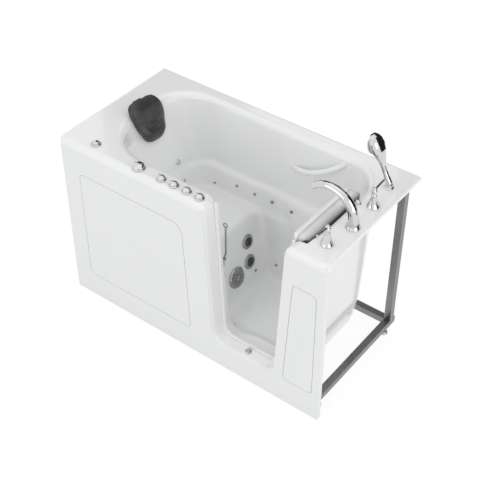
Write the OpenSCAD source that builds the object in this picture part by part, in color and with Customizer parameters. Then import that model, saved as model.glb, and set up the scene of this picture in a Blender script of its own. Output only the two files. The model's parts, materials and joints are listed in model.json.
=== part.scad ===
// Walk-in bathtub: a tall moulded bath with a seat, a side door that swings inwards,
// deck-mounted taps and hand shower, massage jets and a stainless floor frame.
// The origin is on the floor at the middle of the footprint. X runs along the bath
// towards the tap end, Y from the door side to the wall side, and Z is up.

/* [Tub] */
// Length of the bath, end to end
tub_l = 1524; // [1500:1:1560]
// Width of the bath, door side to wall side
tub_w = 762; // [750:1:800]
// Height of the deck above the floor
tub_h = 965; // [950:1:990]
// Wall of the moulded shell
wall = 6; // [4:0.5:8]
// Radius of the rolled front edge of the deck
roll_r = 22; // [15:1:30]
// Depth of the front lip below the deck
front_lip = 40; // [32:1:60]
// Depth of the turned-down lip round the deck
lip_d = 18; // [12:1:25]

/* [Bath] */
// Deck width at the seat end
rim_left = 162; // [150:1:170]
// Deck width at the door side
rim_front = 100; // [96:1:104]
// Deck width at the wall side
rim_back = 81; // [75:1:90]
// Deck width at the tap end
rim_right = 156; // [152:1:158]
// Height of the arm ledge
ledge_z = 612; // [600:1:630]
// Width of the arm ledge
ledge_w = 36; // [30:1:40]
// Height of the seat
seat_z = 490; // [470:1:510]
// Distance of the seat's front edge from the tap end
seat_in = 812; // [800:1:822]
// How far the riser under the seat slopes towards the door
riser_run = 80; // [60:1:90]
// Height of the inside floor
floor_z = 115; // [110:1:120]
// How far the side walls draw in from deck to ledge
wall_draft = 24; // [20:1:28]

/* [Door opening] */
// Distance of the opening from the tap end at deck level
gate_in = 219; // [216:1:222]
// Width of the opening at deck level
gate_w = 440; // [436:1:446]
// How far the opening's left side leans in from deck to sill
lean_left = 43; // [38:1:46]
// How far the opening's right side leans in from deck to sill
lean_right = 47; // [42:1:50]
// Height of the sill
sill_z = 150; // [148:1:156]
// Depth of the passage through the front
jamb_d = 77; // [75:1:80]
// Sideways shift of the passage from front to back
jamb_shift = 10; // [8:1:12]
// Radius of the opening's lower corners
gate_r = 70; // [60:1:80]
// Width of the landing lip round the passage
lip_w = 14; // [12:1:16]
// Thickness of the door seal
seal_t = 8; // [6:0.5:9]

/* [Door] */
// Thickness of the door leaf
leaf_t = 83.5; // [78:0.5:85]
// Distance of the open leaf's outer face from the tap end
leaf_in = 247; // [244:1:250]
// Distance of the hinge axis from the leaf's outer face and from its end
pivot_in = 20.25; // [18:0.25:24]
// Clearance between leaf and seal, and between leaf and passage
leaf_gap = 0.5; // [0.4:0.1:1]
// Clearance below the leaf
leaf_lift = 4; // [3:1:6]
// Clearance of the leaf's top below the deck
leaf_drop = 3; // [2:1:6]
// Radius of the leaf's top corner at the latch end
leaf_top_r = 45; // [35:1:60]
// Wall of the leaf's two mouldings
skin = 5; // [4:0.5:6]
// Radius of the hinge pins
pin_r = 6; // [5:0.5:7]
// Radial clearance of pins in their bushes
pin_fit = 0.05; // [0.02:0.01:0.08]
// Distance of the upper hinge below the deck
hinge_drop = 155; // [135:1:185]
// Height of the lower hinge
hinge_low = 290; // [270:1:320]

/* [Latch] */
// Distance of the latch pivot from the opening at deck level
latch_past = 21; // [18:1:24]
// Height of the latch pivot
latch_z = 517; // [500:1:530]
// Distance of the ring's centre from the latch pivot
latch_reach = 214; // [180:1:230]
// Radius of the latch rod
latch_rod_r = 4.5; // [4:0.25:5]
// Outer radius of the pull ring
ring_r = 14; // [12:0.5:16]

/* [Frame] */
// Width of the square frame tube
tube_w = 35; // [30:1:40]
// Wall of the frame tube
tube_t = 2; // [1.5:0.5:3]
// Height of the frame's underside
frame_z = 40; // [36:1:46]
// Distance of the posts' centres from the ends of the bath
post_in = 55; // [50:1:60]
// Distance of the posts' centres from the sides of the bath
post_side = 48; // [46:1:52]
// How far the end rails stand past the posts
rail_past = 15; // [10:1:20]
// Radius of a levelling foot's pad
foot_r = 20; // [18:1:25]

/* [Taps] */
// Distance of the spout from the tap end
spout_in = 56; // [50:1:62]
// Distance of the hot tap from the tap end
hot_in = 83; // [78:1:86]
// Distance of the cold tap from the tap end
cold_in = 63; // [58:1:66]
// Distance of the hand shower from the tap end
shower_in = 78; // [72:1:84]
// Distance of the hot tap from the door side
hot_side = 118; // [112:1:124]
// Distance of the hand shower from the wall side
shower_side = 158; // [150:1:165]
// Radius of the spout's bend
spout_bend = 123; // [110:1:130]
// Height of the spout's straight foot
spout_rise = 40; // [30:1:50]
// Radius of the spout tube at its foot
spout_r0 = 24; // [21:0.5:25]
// Radius of the spout tube at its mouth
spout_r1 = 15; // [13:0.5:17]
// Height of a tap's bell
bell_h = 58; // [50:1:64]
// Radius of a tap's bell at the deck
bell_r = 29; // [26:0.5:31]
// Length of a tap lever from its axis
lever_l = 78; // [70:1:85]
// Radius of the threaded water inlets, for a three-quarter inch thread
inlet_r = 13.2; // [10.4, 13.2]

/* [Controls] */
// Distance of the last air knob from the opening
knob_past = 43; // [38:1:48]
// Distance of the air knobs from the door side
knob_side = 38; // [36:1:46]
// Radius of an air knob
knob_r = 18.5; // [16:0.5:20]
// Distance of the water selector from the door side
selector_side = 41; // [39:1:48]
// Radius of the water selector
selector_r = 28; // [24:0.5:31]
// Distance of the drain knob from the tap end
drain_knob_in = 126; // [122:1:130]
// Radius of the drain knob
drain_knob_r = 11; // [9:0.5:14]
// Distance of the push button from the door side
button_side = 57; // [52:1:60]
// Radius of the push button
button_r = 17; // [15:0.5:20]

/* [Jets] */
// Radius of a large water jet
jet_r = 40; // [36:0.5:43]
// Radius of a small back jet
back_jet_r = 15.5; // [14:0.5:18]
// Radius of the suction cover
suction_r = 57; // [50:0.5:60]
// Radius of an air jet
air_jet_r = 9; // [8:0.5:11]

/* [Headrest] */
// Width of the headrest
pillow_w = 200; // [190:1:212]
// Length of the headrest down the backrest
pillow_l = 218; // [205:1:230]
// Thickness of the headrest
pillow_t = 59; // [52:1:64]
// Place of the headrest across the bath
pillow_y = 35; // [25:1:45]

/* [Hidden] */

half_l = tub_l / 2;
front = -tub_w / 2;
back = tub_w / 2;
deck_z = tub_h;
seat_front = half_l - seat_in;
gate_right = half_l - gate_in;
gate_left = gate_right - gate_w;
leaf_x = half_l - leaf_in;
latch_x = gate_left - latch_past;
fine = 48;
thin = 0.2;
over = 1;

// Places of the taps: hot tap and hand shower by the sides, spout and cold tap between them
hot_at = [half_l - hot_in, front + hot_side];
shower_at = [half_l - shower_in, back - shower_side];
tap_run = shower_at[1] - hot_at[1];
spout_x = half_l - spout_in;
spout_y = hot_at[1] + 0.3251 * tap_run;
cold_at = [half_l - cold_in, hot_at[1] + 0.679 * tap_run];
drain_knob_at = [half_l - drain_knob_in, cold_at[1] - 22];

// Places of the deck controls, spread between the seat end and the opening
button_at = [-half_l + 0.2104 * (half_l + gate_left), front + button_side];
last_knob_x = gate_left - knob_past;
knob_y = front + knob_side;
knob_pitch = 0.115 * (last_knob_x - button_at[0]);
knob_xs = [for (i = [3:-1:0]) last_knob_x - i * knob_pitch];
selector_at = [button_at[0] + 0.67 * (knob_xs[0] - button_at[0]), front + selector_side];

// Inside faces of the bath at deck level
bath_x0 = -half_l + rim_left;
bath_x1 = half_l - rim_right;
bath_y0 = front + rim_front;
bath_y1 = back - rim_back;
// Run of the backrest from deck to ledge and on to the seat
back_run = 148;
seat_run = 200;
seat_back = bath_x0 + seat_run;
side_y0 = bath_y0 + wall_draft + 19;
side_y1 = bath_y1 - wall_draft - ledge_w;
well_x1 = bath_x1 - 46;
seat_past = 165;
well_z = 150;

// Door geometry, with the door closed
jamb_y = front + jamb_d;
seal_face = jamb_y + seal_t;
leaf_y0 = seal_face + leaf_gap;
leaf_y1 = leaf_y0 + leaf_t;
axis_x = leaf_x + pivot_in;
axis_y = leaf_y0 + pivot_in;
leaf_end = axis_x + pivot_in;
leaf_z0 = sill_z + leaf_lift;
leaf_z1 = deck_z - leaf_drop;
hinge_top = deck_z - hinge_drop;
latch_gap = 2;
nose_r = leaf_t / 2;
pocket_gap = 3;

// Slope of the opening's two sides, per millimetre of height
left_slope = lean_left / (tub_h - sill_z);
right_slope = lean_right / (tub_h - sill_z);
function gate_x0(z) = gate_left + (tub_h - z) * left_slope;
function gate_x1(z) = gate_right - (tub_h - z) * right_slope;

// Outline whose corners, each [x, y, radius], are rounded with arcs of n steps
function unit(v) = v / norm(v);
function arc_from(p, c, n, r, k) =
  r <= 0 ? [c] :
  let (
    a = unit(p - c),
    b = unit(n - c),
    half = acos(a * b) / 2,
    m = c + unit(a + b) * r / sin(half),
    s = c + a * r / tan(half) - m,
    e = c + b * r / tan(half) - m,
    a0 = atan2(s[1], s[0]),
    turn = atan2(e[1], e[0]) - a0,
    sweep_a = turn > 180 ? turn - 360 : turn < -180 ? turn + 360 : turn
  )
  [for (i = [0:k]) m + r * [cos(a0 + sweep_a * i / k), sin(a0 + sweep_a * i / k)]];
function flat(c) = [c[0], c[1]];
function outline(cs, k = 6) = [
  for (i = [0:len(cs) - 1])
    each arc_from(
      flat(cs[(i + len(cs) - 1) % len(cs)]), flat(cs[i]), flat(cs[(i + 1) % len(cs)]), cs[i][2], k
    )
];

// Circles at the four corners of a rounded rectangle: [x, y, radius]
function ring(x0, x1, y0, y1, r) = [
  [x0 + r[0], y0 + r[0], r[0]], [x0 + r[1], y1 - r[1], r[1]],
  [x1 - r[2], y1 - r[2], r[2]], [x1 - r[3], y0 + r[3], r[3]],
];
// One convex hollow through rounded rectangles at several heights, grown by g
module hollow(levels, g) {
  hull()
    for (l = levels, c = l[1])
      translate([c[0], c[1], l[0] - (l[0] > deck_z ? 0 : g)])
        cylinder(h = thin, r = c[2] + g, $fn = fine);
}

bath_levels = [
  [deck_z + over, ring(bath_x0, bath_x1, bath_y0, bath_y1, [210, 155, 170, 60])],
  [ledge_z, ring(bath_x0 + back_run, bath_x1 - 6, bath_y0 + wall_draft, bath_y1 - wall_draft,
    [120, 110, 160, 60])],
];
seat_top = ledge_z + 6;
seat_r = 100;
seat_draft = 5;
low_back_x = bath_x0 + back_run - 2;
seat_corners = [seat_r, seat_r, 60, 60];
seat_levels = [
  [seat_top, ring(low_back_x, seat_front + seat_past, side_y0, side_y1, seat_corners)],
  [seat_z, ring(seat_back, seat_front + seat_past, side_y0 + 6, side_y1 - seat_draft, seat_corners)],
];
well_top = ledge_z + 8;
well_draft = 10;
well_side = 35;
function riser_x(z) = seat_front + (seat_z - z) * riser_run / (seat_z - well_z);
well_levels = [
  [well_top, ring(riser_x(well_top), bath_x1, side_y0, side_y1, [60, 60, 120, 60])],
  [well_z, ring(riser_x(well_z), well_x1, side_y0 + well_draft, side_y1 - well_side, [40, 66, 90, 40])],
  [floor_z, ring(riser_x(well_z) + 30, well_x1 - 30, side_y0 + 40, side_y1 - 65, [20, 60, 60, 20])],
];
park_x0 = leaf_x - 35;
park_x1 = leaf_x + leaf_t + 11.5;
park_draft = 18;
park_y1 = axis_y + axis_x - gate_left + 8;
park_levels = [
  [deck_z + over, ring(park_x0, park_x1, jamb_y, park_y1, [20, 20, 40, 20])],
  [210, ring(park_x0, park_x1, jamb_y, park_y1, [20, 20, 40, 20])],
  [sill_z - 4, ring(park_x0, park_x1 - park_draft, jamb_y, park_y1 - 30, [20, 20, 40, 20])],
];

// Passage outline in the XZ plane, drawn in by d, at s of the way from front to back
function gate(d, s) = outline([
  [gate_x0(deck_z + 40) + jamb_shift * s + d, deck_z + 40, 0],
  [gate_x0(sill_z) + jamb_shift * s + d, sill_z + d - sill_drop * (1 - s), gate_r - d],
  [gate_x1(sill_z) + jamb_shift * s - d, sill_z + d - sill_drop * (1 - s), gate_r - d],
  [gate_x1(deck_z + 40) + jamb_shift * s - d, deck_z + 40, 0],
]);
sill_drop = 12;
mouth_d = 11;
mouth_s = 0.14;
mouth_flare = 9;
sill_slope = atan2(sill_drop * (1 - mouth_s), jamb_d - mouth_d);
function sill_height(y) = sill_z - (jamb_y - y) * tan(sill_slope);
// A slab in Y between y0 and y1 whose outline is drawn in the XZ plane
module slab_y(y0, y1) {
  translate([0, y1, 0])
    rotate([90, 0, 0])
      linear_extrude(y1 - y0)
        children();
}
// The passage from the front face to the landing, grown by g
module gate_mouth(g) {
  hull() {
    slab_y(front - over, front - over + thin)
      polygon(gate(-g - mouth_flare, 0));
    slab_y(front + mouth_d, front + mouth_d + thin)
      polygon(gate(-g, mouth_s));
  }
}
module passage(g) {
  gate_mouth(g);
  hull() {
    slab_y(front + mouth_d, front + mouth_d + thin)
      polygon(gate(-g, mouth_s));
    slab_y(jamb_y - thin, jamb_y)
      polygon(gate(-g, 1));
  }
}
// The space behind the landing in which the closed leaf sits, grown by g
module pocket(g) {
  slab_y(jamb_y - g, side_y0 + 20)
    polygon(outline([
      [gate_x0(deck_z + 40) + jamb_shift - pocket_gap - g, deck_z + 40, 0],
      [gate_x0(sill_z) + jamb_shift - pocket_gap - g, sill_z - 4 - g, gate_r + g],
      [park_x1 - park_draft + g, sill_z - 4 - g, gate_r + g],
      [park_x1 - 2 + g, 260, 60],
      [park_x1 - 2 + g, deck_z + 40, 0],
    ]));
}
// Everything inside the bath, or the same grown by the wall
module bath_space(g) {
  hollow(bath_levels, g);
  hollow(seat_levels, g);
  hollow(well_levels, g);
  hollow(park_levels, g);
  pocket(g);
}

// Section of the moulding across the bath: a block whose front top edge is rolled
module body_section(g) {
  polygon(outline([
    [front + g, -over, 0], [front + g, deck_z - g, max(roll_r - g, 1)],
    [back - g, deck_z - g, 0], [back - g, -over, 0],
  ], 10));
}
module along_x(x0, x1) {
  translate([x0, 0, 0])
    rotate([90, 0, 90])
      linear_extrude(x1 - x0)
        children();
}

// A frame at p whose Z points along the bath
module along_x_at(p) {
  translate(p)
    rotate([0, 90, 0])
      children();
}

// Frames for parts that sit on sloping walls: origin p, outward direction n in the XZ plane
module on_slope(p, n) {
  translate(p)
    rotate([0, atan2(n[0], n[1]), 0])
      children();
}
riser_n = unit([seat_z - well_z, riser_run]);
function on_riser(y, z) = [riser_x(z), y, z];
function back_x(z) = z > ledge_z
  ? bath_x0 + back_run * (deck_z - z) / (deck_z - ledge_z)
  : low_back_x + (seat_back - low_back_x) * (seat_top - z) / (seat_top - seat_z);
back_n = unit([deck_z - ledge_z, back_run]);
low_back_n = unit([seat_top - seat_z, seat_back - low_back_x]);

// Places of the jets and fittings
// The flat part of the riser, and what the round fittings leave of it
riser_air_z = well_z + 22;
suction_z = well_z + 73;
lower_jet_z = well_z + 96;
upper_jet_z = well_z + 206;
riser_y0 = side_y0 + 53;
riser_y1 = side_y1 - 93;
riser_slack = riser_y1 - riser_y0 - 2 * (suction_r + jet_r);
lower_jet_y = riser_y1 - jet_r - 0.087 * riser_slack;
lower_jet_at = on_riser(lower_jet_y, lower_jet_z);
upper_jet_at = on_riser(lower_jet_y + 0.116 * riser_slack, upper_jet_z);
suction_at = on_riser(riser_y0 + suction_r + 0.775 * riser_slack, suction_z);
back_jet_zs = [ledge_z + 35, seat_z + 62, seat_z + 50];
back_jets_at = [
  [back_x(back_jet_zs[0]), bath_y1 - 179, back_jet_zs[0], 0],
  [back_x(back_jet_zs[1]), bath_y1 - 190, back_jet_zs[1], 1],
  [back_x(back_jet_zs[2]), bath_y1 - 290, back_jet_zs[2], 1],
];
wall_air_z = seat_z + 67;
low_air_x = seat_front + 146;
low_air_z = well_z + 39;
seat_depth = seat_front - low_back_x;
wall_air_xs = [
  seat_front - 0.324 * seat_depth, seat_front - 0.045 * seat_depth, seat_front + 88, seat_front + 210,
];
riser_air_at = on_riser(riser_y1 - 21, riser_air_z);
drain_at = [well_x1 - 110, (side_y0 + side_y1) / 2 + 41];
drain_r = 32;
overflow_at = [park_x1, front + 133, deck_z - 90];
overflow_hole_r = 22;
button_hole_r = button_r + 0.6;

module drill(p, r, depth = 60) {
  translate([p[0], p[1], deck_z - depth])
    cylinder(h = depth + over, r = r, $fn = fine);
}
// The wall side below the ledge: beside the seat, and beyond it by the footwell
function by_seat(x) = x < seat_front + 110;
function wall_y(x, z) = side_y1 - (by_seat(x)
  ? seat_draft * (seat_top - z) / (seat_top - seat_z)
  : well_side * (well_top - z) / (well_top - well_z));
function wall_tilt(x) = by_seat(x)
  ? atan2(seat_draft, seat_top - seat_z)
  : atan2(well_side, well_top - well_z);
// Middle of the seat's rounded corner at height z, by the backrest and the wall side
function corner_at(z) = [back_x(z) + seat_r, wall_y(-half_l, z) - seat_r];
// Each air jet of the wall side: its place, its turn towards the backrest and its tilt
corner_turn = 8;
corner_air_z = seat_z + 20;
corner_lift = 0.5;
air_jets_at = concat(
  [for (x = wall_air_xs) [[x, wall_y(x, wall_air_z), wall_air_z], 0, wall_tilt(x)]],
  [[[low_air_x, wall_y(low_air_x, low_air_z), low_air_z], 0, wall_tilt(low_air_x)]],
  [[
    [
      corner_at(corner_air_z)[0] - (seat_r - corner_lift) * sin(corner_turn),
      corner_at(corner_air_z)[1] + (seat_r - corner_lift) * cos(corner_turn),
      corner_air_z
    ],
    corner_turn,
    atan2((seat_back - low_back_x) * sin(corner_turn) + seat_draft * cos(corner_turn), seat_top - seat_z)
  ]]
);
module on_wall(a) {
  translate(a[0])
    rotate([90 - a[2], 0, a[1]])
      children();
}

// Holes for everything that passes through the moulding
module shell_holes() {
  drill([spout_x, spout_y], 17);
  drill(hot_at, 17);
  drill(cold_at, 17);
  drill(shower_at, 17);
  drill(button_at, 20);
  drill(selector_at, selector_body_r + 0.5);
  for (x = knob_xs)
    drill([x, knob_y], 14);
  drill(drain_knob_at, 9.5);
  for (p = [lower_jet_at, upper_jet_at])
    on_slope(p, riser_n)
      cylinder(h = 60, r = jet_r - 12, center = true, $fn = fine);
  on_slope(suction_at, riser_n)
    cylinder(h = 60, r = suction_r - 22, center = true, $fn = fine);
  for (p = back_jets_at)
    on_slope([p[0], p[1], p[2]], p[3] == 0 ? back_n : low_back_n)
      cylinder(h = 60, r = back_jet_r - 5, center = true, $fn = fine);
  for (a = air_jets_at)
    on_wall(a)
      cylinder(h = 40, r = air_jet_r - 4, center = true, $fn = 24);
  on_slope(riser_air_at, riser_n)
    cylinder(h = 40, r = air_jet_r - 4, center = true, $fn = 24);
  translate([drain_at[0], drain_at[1], floor_z])
    cylinder(h = 60, r = drain_r - 6, center = true, $fn = fine);
  translate(overflow_at)
    rotate([0, 90, 0])
      cylinder(h = 60, r = overflow_hole_r, center = true, $fn = fine);
}

module tub_shell() {
  color("white")
    difference() {
      intersection() {
        along_x(-half_l, half_l)
          body_section(0);
        union() {
          // Deck with its rolled front and turned-down lips
          difference() {
            translate([-half_l, front, deck_z - front_lip])
              cube([tub_l, tub_w, front_lip]);
            along_x(-half_l + wall, half_l - wall)
              body_section(wall);
            translate([-half_l - over, front + roll_r, deck_z - front_lip - over])
              cube([tub_l + 2 * over, tub_w, front_lip - lip_d + over]);
          }
          intersection() {
            translate([-half_l, front + wall, 0])
              cube([tub_l, tub_w - 2 * wall, deck_z - wall / 2]);
            union() {
              bath_space(wall);
              intersection() {
                passage(wall);
                translate([-half_l, front + wall, 0])
                  cube([tub_l, jamb_d, deck_z]);
              }
            }
          }
        }
      }
      bath_space(0);
      passage(0);
      shell_holes();
    }
}

// The front apron hangs below the rolled edge and takes two removable panels
apron_z0 = 5;
apron_z1 = deck_z - front_lip;
apron_return = 25;
groove = 2.5;
flange_w = 20;
flange_t = 4;
left_panel_x0 = -half_l + 107;
left_panel_z0 = 153;
left_panel_z1 = deck_z - 178;
left_panel = [
  [left_panel_x0, left_panel_z0, 22], [left_panel_x0, left_panel_z1, 22],
  [gate_left - 152, left_panel_z1, 30], [gate_left - 125, left_panel_z1 - 47, 60],
  [gate_left - 96, left_panel_z0, 22],
];
right_panel_z0 = 160;
right_panel = [
  [half_l - 202, right_panel_z0, 20], [half_l - 165, deck_z - 193, 20],
  [half_l - 43, deck_z - 199, 24], [half_l - 41, right_panel_z0, 20],
];
function middle(cs, i) = (min([for (c = cs) c[i]]) + max([for (c = cs) c[i]])) / 2;
// A panel outline grown by g about its middle
function grown(cs, g) = outline([
  for (c = cs) [
    c[0] + (c[0] > middle(cs, 0) ? g : -g),
    c[1] + (c[1] > middle(cs, 1) ? g : -g),
    max(c[2] + g, 2)
  ]
]);
module front_apron() {
  color("white") {
    difference() {
      translate([-half_l, front, apron_z0])
        cube([tub_l, apron_return, apron_z1 - apron_z0]);
      translate([-half_l + wall, front + wall, 0])
        cube([tub_l - 2 * wall, apron_return, deck_z]);
      for (p = [left_panel, right_panel])
        slab_y(front - over, front + wall + over)
          polygon(grown(p, groove));
      gate_mouth(0);
    }
    // Flanges behind the two access openings
    for (p = [left_panel, right_panel])
      difference() {
        slab_y(front + wall, front + wall + flange_t)
          polygon(grown(p, flange_w / 2));
        slab_y(front, front + wall + flange_t + over)
          polygon(grown(p, -flange_w / 2));
        magnets(left_magnets, 0);
        magnets(right_magnets, 0);
      }
  }
}
module access_panel(p) {
  slab_y(front, front + wall)
    polygon(grown(p, 0));
}
module left_access_panel() {
  color("white")
    access_panel(left_panel);
}
module right_access_panel() {
  color("white")
    access_panel(right_panel);
}
magnet_r = 6;
magnet_in = 3;
function side_x(a, b, z) = a[0] + (b[0] - a[0]) * (z - a[1]) / (b[1] - a[1]);
left_magnet_xs = [-half_l + 282, gate_left - 303];
left_magnets = concat(
  [for (z = [left_panel_z0 + 147, left_panel_z1 - 147]) [left_panel_x0 + magnet_in, z]],
  [for (x = left_magnet_xs, z = [left_panel_z0 + magnet_in, left_panel_z1 - magnet_in]) [x, z]]
);
right_magnet_zs = [right_panel_z0 + 100, deck_z - 405];
right_magnets = concat(
  [for (z = right_magnet_zs) [side_x(right_panel[0], right_panel[1], z) + magnet_in, z]],
  [for (z = right_magnet_zs) [side_x(right_panel[3], right_panel[2], z) - magnet_in, z]]
);
module magnets(ps, g) {
  for (p = ps)
    translate([p[0], front + wall, p[1]])
      rotate([-90, 0, 0])
        cylinder(h = flange_t, r = magnet_r + g, $fn = 24);
}
module panel_magnets() {
  color("dimgray") {
    magnets(left_magnets, 0);
    magnets(right_magnets, 0);
  }
}

// Landing round the passage and the seal that the leaf closes on
lip_gap = 0.2;
lip_below = 20;
seal_in = 2;
seal_below = 25;
lip_s = mouth_s + (1 - mouth_s) * (jamb_d - wall - mouth_d) / (jamb_d - mouth_d);
// A slanting U that follows the passage over the last of its depth
module door_landing_lip() {
  y0 = jamb_y - wall;
  color("white")
    difference() {
      hull() {
        slab_y(y0, y0 + thin)
          polygon(gate(lip_gap, lip_s));
        slab_y(jamb_y - thin, jamb_y)
          polygon(gate(lip_gap, 1));
      }
      hull() {
        slab_y(y0 - thin, y0)
          polygon(gate(lip_w, lip_s));
        slab_y(jamb_y, jamb_y + thin)
          polygon(gate(lip_w, 1));
      }
      translate([-half_l, y0 - over, deck_z - lip_below])
        cube([tub_l, wall + 2 * over, deck_z]);
    }
}
module door_seal() {
  color("gainsboro")
    slab_y(jamb_y, seal_face)
      difference() {
        polygon(gate(seal_in, 1));
        polygon(gate(lip_w, 1));
        translate([-half_l, deck_z - seal_below])
          square([tub_l, tub_h]);
      }
}
strike_at = [(gate_left + gate_right) / 2 + 2, front + 50];
module sill_strike() {
  color("silver")
    translate([strike_at[0], strike_at[1], sill_height(strike_at[1])])
      rotate([sill_slope, 0, 0])
        translate([0, 0, 0.2])
          rotate_extrude($fn = fine)
            polygon([[0, 0], [15, 0], [15, 4], [10, 9], [0, 9]]);
}

// The leaf is modelled closed and swung open about the hinge axis
module swung_open() {
  translate([axis_x, axis_y, 0])
    rotate([0, 0, -90])
      translate([-axis_x, -axis_y, 0])
        children();
}
leaf_left_top = gate_x0(leaf_z1) + jamb_shift + latch_gap;
leaf_left_low = gate_x0(leaf_z0) + jamb_shift + latch_gap;
leaf_low_r = gate_r + 5;
leaf_l = leaf_end - leaf_left_top;
edge_r = 20;
inner_edge = 30;
leaf_slope = atan2(leaf_left_low - leaf_left_top, leaf_z1 - leaf_z0);
// The closed leaf drawn in by i: its face outline, its two rounded ends and its rounded top and bottom
module leaf(i) {
  intersection() {
    slab_y(leaf_y0 + i, leaf_y1 - i)
      polygon(outline([
        [leaf_left_low + i, leaf_z0 + i, leaf_low_r - i], [leaf_end - i, leaf_z0 + i, 30 - i],
        [leaf_end - i, leaf_z1 - i, 30 - i], [leaf_left_top + i, leaf_z1 - i, leaf_top_r - i],
      ], 7));
    translate([0, 0, leaf_z0 - over])
      linear_extrude(leaf_z1 - leaf_z0 + 2 * over)
        polygon(outline([
          [0, leaf_y0 + i, 0], [leaf_end - i, leaf_y0 + i, nose_r - i - 0.1],
          [leaf_end - i, leaf_y1 - i, nose_r - i - 0.1], [0, leaf_y1 - i, 0],
        ], 10));
    translate([leaf_left_low, 0, leaf_z0])
      rotate([0, -leaf_slope, 0])
        translate([0, 0, -100])
          linear_extrude(leaf_z1 - leaf_z0 + 300)
            polygon(outline([
              [i, leaf_y0 + i, edge_r - i / 2], [leaf_l * 2, leaf_y0 + i, 0],
              [leaf_l * 2, leaf_y1 - i, 0], [i, leaf_y1 - i, inner_edge - i / 2],
            ], 7));
    along_x(0, half_l)
      polygon(outline([
        [leaf_y0 + i, leaf_z0 + i, edge_r - i / 2], [leaf_y1 - i, leaf_z0 + i, inner_edge - i / 2],
        [leaf_y1 - i, leaf_z1 - i, inner_edge - i / 2], [leaf_y0 + i, leaf_z1 - i, edge_r - i / 2],
      ], 6));
  }
}
seam_y = leaf_y0 + 33;
slot_h = 14;
slot_r = 52;
bush_r = 10;
bush_l = 20;
arm_h = 10;
module hinge_cuts(r) {
  for (z = [hinge_low, hinge_top]) {
    translate([axis_x, axis_y, z - slot_h / 2])
      cylinder(h = slot_h, r = slot_r, $fn = fine);
    translate([axis_x, axis_y, z - slot_h / 2 - bush_l])
      cylinder(h = slot_h + 2 * bush_l, r = r, $fn = fine);
  }
}
module door_outer_skin() {
  color("white")
    swung_open()
      difference() {
        leaf(0);
        leaf(skin);
        translate([0, seam_y, 0])
          cube([half_l, tub_w, tub_h]);
        hinge_cuts(bush_r);
      }
}
module door_inner_skin() {
  color("white")
    swung_open()
      difference() {
        leaf(0);
        leaf(skin);
        translate([0, seam_y - tub_w, 0])
          cube([half_l, tub_w, tub_h]);
        hinge_cuts(bush_r);
      }
}
module door_core() {
  color("khaki")
    swung_open()
      difference() {
        leaf(skin + 0.2);
        hinge_cuts(bush_r);
      }
}
module hinge_bushes() {
  color("peru")
    for (z = [hinge_low, hinge_top], s = [-1, 1])
      translate([axis_x, axis_y, z + s * (slot_h / 2 + bush_l / 2)])
        difference() {
          cylinder(h = bush_l, r = bush_r, center = true, $fn = fine);
          cylinder(h = bush_l + over, r = pin_r + pin_fit, center = true, $fn = fine);
        }
}
plate_x0 = axis_x + 20;
plate_l = 50;
module hinge_brackets() {
  color("silver")
    for (z = [hinge_low, hinge_top])
      union() {
        translate([plate_x0, jamb_y, z - 25])
          cube([plate_l, 4, 50]);
        translate([0, 0, z - arm_h / 2])
          linear_extrude(arm_h)
            polygon([
              [axis_x - 2, axis_y - 9], [axis_x + 9, axis_y + 2],
              [plate_x0 + 36, jamb_y + 3], [plate_x0 + 2, jamb_y + 3],
            ]);
        translate([axis_x, axis_y, z])
          cylinder(h = arm_h, r = 11, center = true, $fn = fine);
        translate([axis_x, axis_y, z])
          cylinder(h = slot_h + 2 * bush_l - 4, r = pin_r, center = true, $fn = fine);
      }
}
latch_y = leaf_y1 + 2.5 + latch_rod_r;
keeper_x = gate_x0(latch_z) + jamb_shift + 30;
module door_keeper() {
  color("silver")
    swung_open()
      difference() {
        translate([keeper_x, leaf_y1, latch_z - 22])
          cube([36, 2, 44]);
        for (z = [-15, 15])
          translate([keeper_x + 18, leaf_y1, latch_z + z])
            rotate([90, 0, 0])
              cylinder(h = 8, r = 2, center = true, $fn = 24);
      }
}

// Latch: a rod with a pull ring that turns on a pin in a wall bracket
latch_plate_h = 32;
latch_foot_z = latch_z - latch_plate_h / 2;
wall_at_latch = side_y0 + well_draft * (well_top - latch_foot_z) / (well_top - well_z) + 0.2;
latch_pin_r = 4;
latch_hub_w = 2 * latch_rod_r + 2;
latch_in = latch_y - latch_hub_w / 2 - 0.3 - wall_at_latch - 1;
module latch_bracket() {
  color("silver")
    union() {
      translate([latch_x - 20, wall_at_latch, latch_foot_z])
        cube([46, 3, latch_plate_h]);
      translate([latch_x, wall_at_latch + 1, latch_z])
        rotate([-90, 0, 0])
          rotate_extrude($fn = fine)
            polygon([
              [0, 0], [11, 0], [11, latch_in], [latch_pin_r, latch_in],
              [latch_pin_r, latch_in + latch_hub_w + 0.6], [7, latch_in + latch_hub_w + 0.6],
              [7, latch_in + latch_hub_w + 3.6], [0, latch_in + latch_hub_w + 3.6],
            ]);
    }
}
module latch_lever() {
  kink = [12, 45];
  color("silver")
    translate([latch_x, latch_y, latch_z])
      difference() {
        union() {
          rotate([90, 0, 0])
            cylinder(h = latch_hub_w, r = 10, center = true, $fn = fine);
          rotate([0, atan2(kink[0], kink[1]), 0])
            cylinder(h = norm(kink), r = latch_rod_r, $fn = 24);
          translate([kink[0], 0, kink[1]]) {
            sphere(r = latch_rod_r + 0.8, $fn = 24);
            cylinder(h = latch_reach - kink[1] - ring_r + 2, r = latch_rod_r, $fn = 24);
          }
          translate([kink[0], 0, latch_reach])
            rotate([90, 0, 0])
              rotate_extrude($fn = fine)
                translate([ring_r - 3, 0])
                  circle(r = 3, $fn = 24);
        }
        rotate([90, 0, 0])
          cylinder(h = 40, r = latch_pin_r + pin_fit, center = true, $fn = fine);
      }
}

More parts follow.
